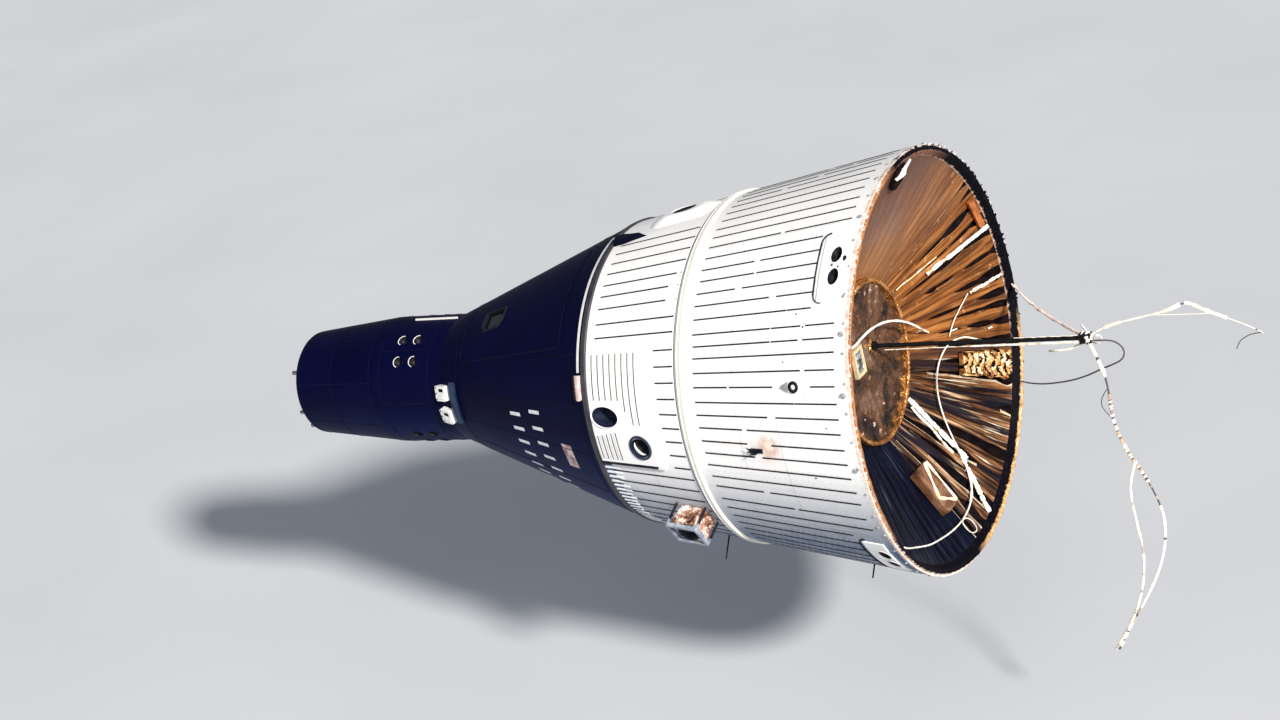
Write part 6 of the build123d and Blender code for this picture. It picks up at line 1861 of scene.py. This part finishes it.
make_obj("sensor_notch_painted_shadow_linings", v_, f_, NOZZLE, smooth=False)
v_, f_ = join(clips)
make_obj("sensor_clips", v_, f_, METAL)
v_, f_ = join(caps)
make_obj("sensor_covers", v_, f_, SENSOR, smooth=False)

# ------------------------------------------------------------------ boom tip wraps and knots
def wrap_knot(name, centre, size, mt, seed):
    vs, fs = [], []
    seg, lev = 26, 14
    for j in range(lev + 1):
        th = math.pi * j / lev
        for k in range(seg):
            a = 2 * math.pi * k / seg
            d = Vector((math.sin(th) * math.cos(a), math.sin(th) * math.sin(a), math.cos(th)))
            s = 1 + 0.28 * mnoise.noise(d * 2.2 + Vector((seed, 0, 0))) + 0.16 * math.sin(8 * th + 3 * a)
            vs.append((centre[0] + d.x * size[0] * s, centre[1] + d.y * size[1] * s, centre[2] + d.z * size[2] * s))
    for j in range(lev):
        for k in range(seg):
            k2 = (k + 1) % seg
            fs.append((j * seg + k, j * seg + k2, (j + 1) * seg + k2, (j + 1) * seg + k))
    return make_obj(name, vs, fs, mt)


wrap_knot("tip_tape_knot", (-1.098, -0.046, 0.108), (0.030, 0.040, 0.042), TAPE, 1.0)
wrap_knot("boom_root_wrap", (0.535, -0.046, 0.108), (0.022, 0.046, 0.046), GOLD, 3.0)


def tag(name, pts, width, mt):
    """A short loose end of tape, bent and slightly frayed."""
    vs, fs = [], []
    P = [Vector(p) for p in pts]
    for i, p in enumerate(P):
        d = (P[min(i + 1, len(P) - 1)] - P[max(i - 1, 0)]).normalized()
        sd = d.cross(Vector((0.3, 1.0, 0.2))).normalized()
        up2 = sd.cross(d).normalized()
        wv = width * (1 - 0.25 * i / len(P)) / 2
        vs += [tuple(p - sd * wv - up2 * 0.0012), tuple(p + sd * wv - up2 * 0.0012),
               tuple(p + sd * wv + up2 * 0.0012), tuple(p - sd * wv + up2 * 0.0012)]
    for i in range(len(P) - 1):
        for j in range(4):
            fs.append((i * 4 + j, i * 4 + (j + 1) % 4, (i + 1) * 4 + (j + 1) % 4, (i + 1) * 4 + j))
    b = (len(P) - 1) * 4
    fs += [(0, 3, 2, 1), (b, b + 1, b + 2, b + 3)]
    return make_obj(name, vs, fs, mt)


tag("tip_loose_end", [(-1.075, -0.050, 0.085), (-1.02, -0.055, 0.050), (-0.95, -0.060, 0.022), (-0.87, -0.060, 0.012),
                      (-0.79, -0.060, 0.014)], 0.020, TAPE)
parts, pfm = [], []
for n_, (c_, rx_, rz_, ph_) in enumerate((((-1.135, -0.060, 0.085), 0.050, 0.026, 1.8), ((-1.080, -0.040, 0.105), 0.030, 0.052, 2.6))):
    P = []
    for k in range(41):
        t = 2 * math.pi * 0.86 * k / 40 + ph_
        P.append(Vector((c_[0] + rx_ * math.cos(t), c_[1] + 0.022 * math.sin(2 * t + n_), c_[2] + rz_ * math.sin(t))))
    vs, fs, fm_ = ribbon("l", P, 0.015, 0.007, 70.0 + n_, [], patches(71.0 + n_, 5.0, -0.3, 0.6), 12.0, 1.5, raw=True)
    parts.append((vs, fs))
    pfm += fm_
v_, f_ = join(parts)
make_obj("tip_small_loops", v_, f_, [TAPE, TAPE_TAN], face_mat=pfm)
tag("tip_upper_end", [(-1.10, -0.046, 0.135), (-1.085, -0.046, 0.175), (-1.065, -0.046, 0.205)], 0.018, TAPE)

# ------------------------------------------------------------------ cabin inside: pads, gauges, switches
def cushion(name, centre, half, up_axis, mt):
    """Crowned pad with sewn channels across it."""
    vs, fs = [], []
    n = 26
    cx, cy, cz = centre
    for s in (1, -1):
        for i in range(n + 1):
            for j in range(n + 1):
                u, v = -1 + 2 * i / n, -1 + 2 * j / n
                rim = max(0.0, (1 - abs(u) ** 5) * (1 - abs(v) ** 5)) ** 0.45
                chan = 1 - 0.22 * math.exp(-((math.fmod(abs(v) * 3.0 + 0.5, 1.0) - 0.5) / 0.10) ** 2)
                h = half[2] * s * rim * chan
                p = (u * half[0] * (1 - 0.02 * v * v), v * half[1] * (1 - 0.02 * u * u), h)
                if up_axis == "x":
                    q = (cx + p[2], cy + p[0], cz + p[1])
                else:
                    q = (cx + p[1], cy + p[0], cz + p[2])
                vs.append(q)
    m2 = (n + 1) * (n + 1)
    for s in range(2):
        for i in range(n):
            for j in range(n):
                a = s * m2 + i * (n + 1) + j
                q = (a, a + 1, a + n + 2, a + n + 1)
                fs.append(q if s else q[::-1])
    ring = [i * (n + 1) for i in range(n + 1)] + [n * (n + 1) + j for j in range(1, n + 1)] + \
           [i * (n + 1) + n for i in range(n - 1, -1, -1)] + [j for j in range(n - 1, 0, -1)]
    for k in range(len(ring)):
        a, b = ring[k], ring[(k + 1) % len(ring)]
        fs.append((a, b, b + m2, a + m2))
    return vs, fs


pad_parts = []
for side in (1, -1):
    pad_parts.append(cushion("b", (2.504, side * 0.410, 0.030), (0.188, 0.352, 0.030), "x", PAD))
    pad_parts.append(cushion("s", (2.760, side * 0.410, -0.424), (0.188, 0.165, 0.030), "z", PAD))
v_, f_ = join(pad_parts)
pads = make_obj("seat_cushions", v_, f_, PAD)
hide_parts("seat_pads")

gauges, faces = [], []
for side in (1, -1):
    for row in range(3):
        for col in range(4):
            y = side * (0.16 + 0.105 * col)
            z = 0.16 - 0.115 * row
            r = 0.040 if (row + col) % 3 else 0.048
            gauges.append(lathe([(r * 0.80, 0.002), (r * 0.84, 0.010), (r, 0.010), (r * 1.05, 0.0)], (3.2897, y, z), (-1, 0, 0),
                                (0, 0, 1), 24))
            faces.append(lathe([(0.0, 0.003), (r * 0.80, 0.003)], (3.2897, y, z), (-1, 0, 0), (0, 0, 1), 20))
for k in range(14):
    z = -0.20 + 0.0
    y = -0.56 + 0.086 * k
    if abs(y) > 0.08:
        gauges.append(lathe([(0.0, 0.030), (0.004, 0.030), (0.005, 0.008), (0.010, 0.007), (0.011, 0.0)], (3.2897, y, z),
                            (-1, 0, 0), (0, 0, 1), 10))
v_, f_ = join(gauges)
make_obj("panel_gauge_rims", v_, f_, METAL)
v_, f_ = join(faces)
make_obj("panel_gauge_faces", v_, f_, DIAL)

# ------------------------------------------------------------------ floor, light, world
FLOOR_Z = -3.1
me = bpy.data.meshes.new("studio_floor")
me.from_pydata([(-260, -260, FLOOR_Z), (260, -260, FLOOR_Z), (260, 260, FLOOR_Z), (-260, 260, FLOOR_Z)], [], [(0, 1, 2, 3)])
floor = bpy.data.objects.new("studio_floor", me)
scene.collection.objects.link(floor)
mt, nt, sh = new_mat("pale_floor")
v = coords(nt)
n1 = noise(nt, v, 0.25, 3.0, 0.5)
put(nt, sh.inputs["Base Color"], mix(nt, gray(nt, n1, 0.3, 0.7), (0.60, 0.62, 0.65), (0.64, 0.66, 0.69)))
sh.inputs["Roughness"].default_value = 0.9
sh.inputs["Specular IOR Level"].default_value = 0.1
me.materials.append(mt)

world = bpy.data.worlds.new("studio")
scene.world = world
world.use_nodes = True
bg = world.node_tree.nodes["Background"]
bg.inputs[0].default_value = (0.72, 0.78, 0.88, 1.0)
bg.inputs[1].default_value = 0.33

sun_data = bpy.data.lights.new("sun", "SUN")
sun_data.energy = 5.6
sun_data.angle = math.radians(5.0)
sun_data.color = (1.0, 0.96, 0.90)
sun = bpy.data.objects.new("sun", sun_data)
scene.collection.objects.link(sun)
sd = Vector((-0.722, 0.528, 0.446)).normalized()
sun.rotation_euler = sd.to_track_quat("Z", "Y").to_euler()


def area(name, loc, target, size, power, color=(1, 1, 1)):
    d = bpy.data.lights.new(name, "AREA")
    d.shape = "RECTANGLE"
    d.size, d.size_y = size
    d.energy = power
    d.color = color
    o = bpy.data.objects.new(name, d)
    scene.collection.objects.link(o)
    o.location = loc
    o.rotation_euler = (Vector(loc) - Vector(target)).to_track_quat("Z", "Y").to_euler()
    return o


area("soft_key", (-3.0, 9.0, 7.0), (1.5, 0, 0), (6.0, 4.0), 250, (1.0, 0.98, 0.95))
area("soft_fill", (6.5, 8.0, 1.5), (2.5, 0, 0), (5.0, 4.0), 50, (0.85, 0.90, 1.0))

scene.view_settings.view_transform = "Standard"
scene.view_settings.look = "None"
scene.view_settings.exposure = 0.0
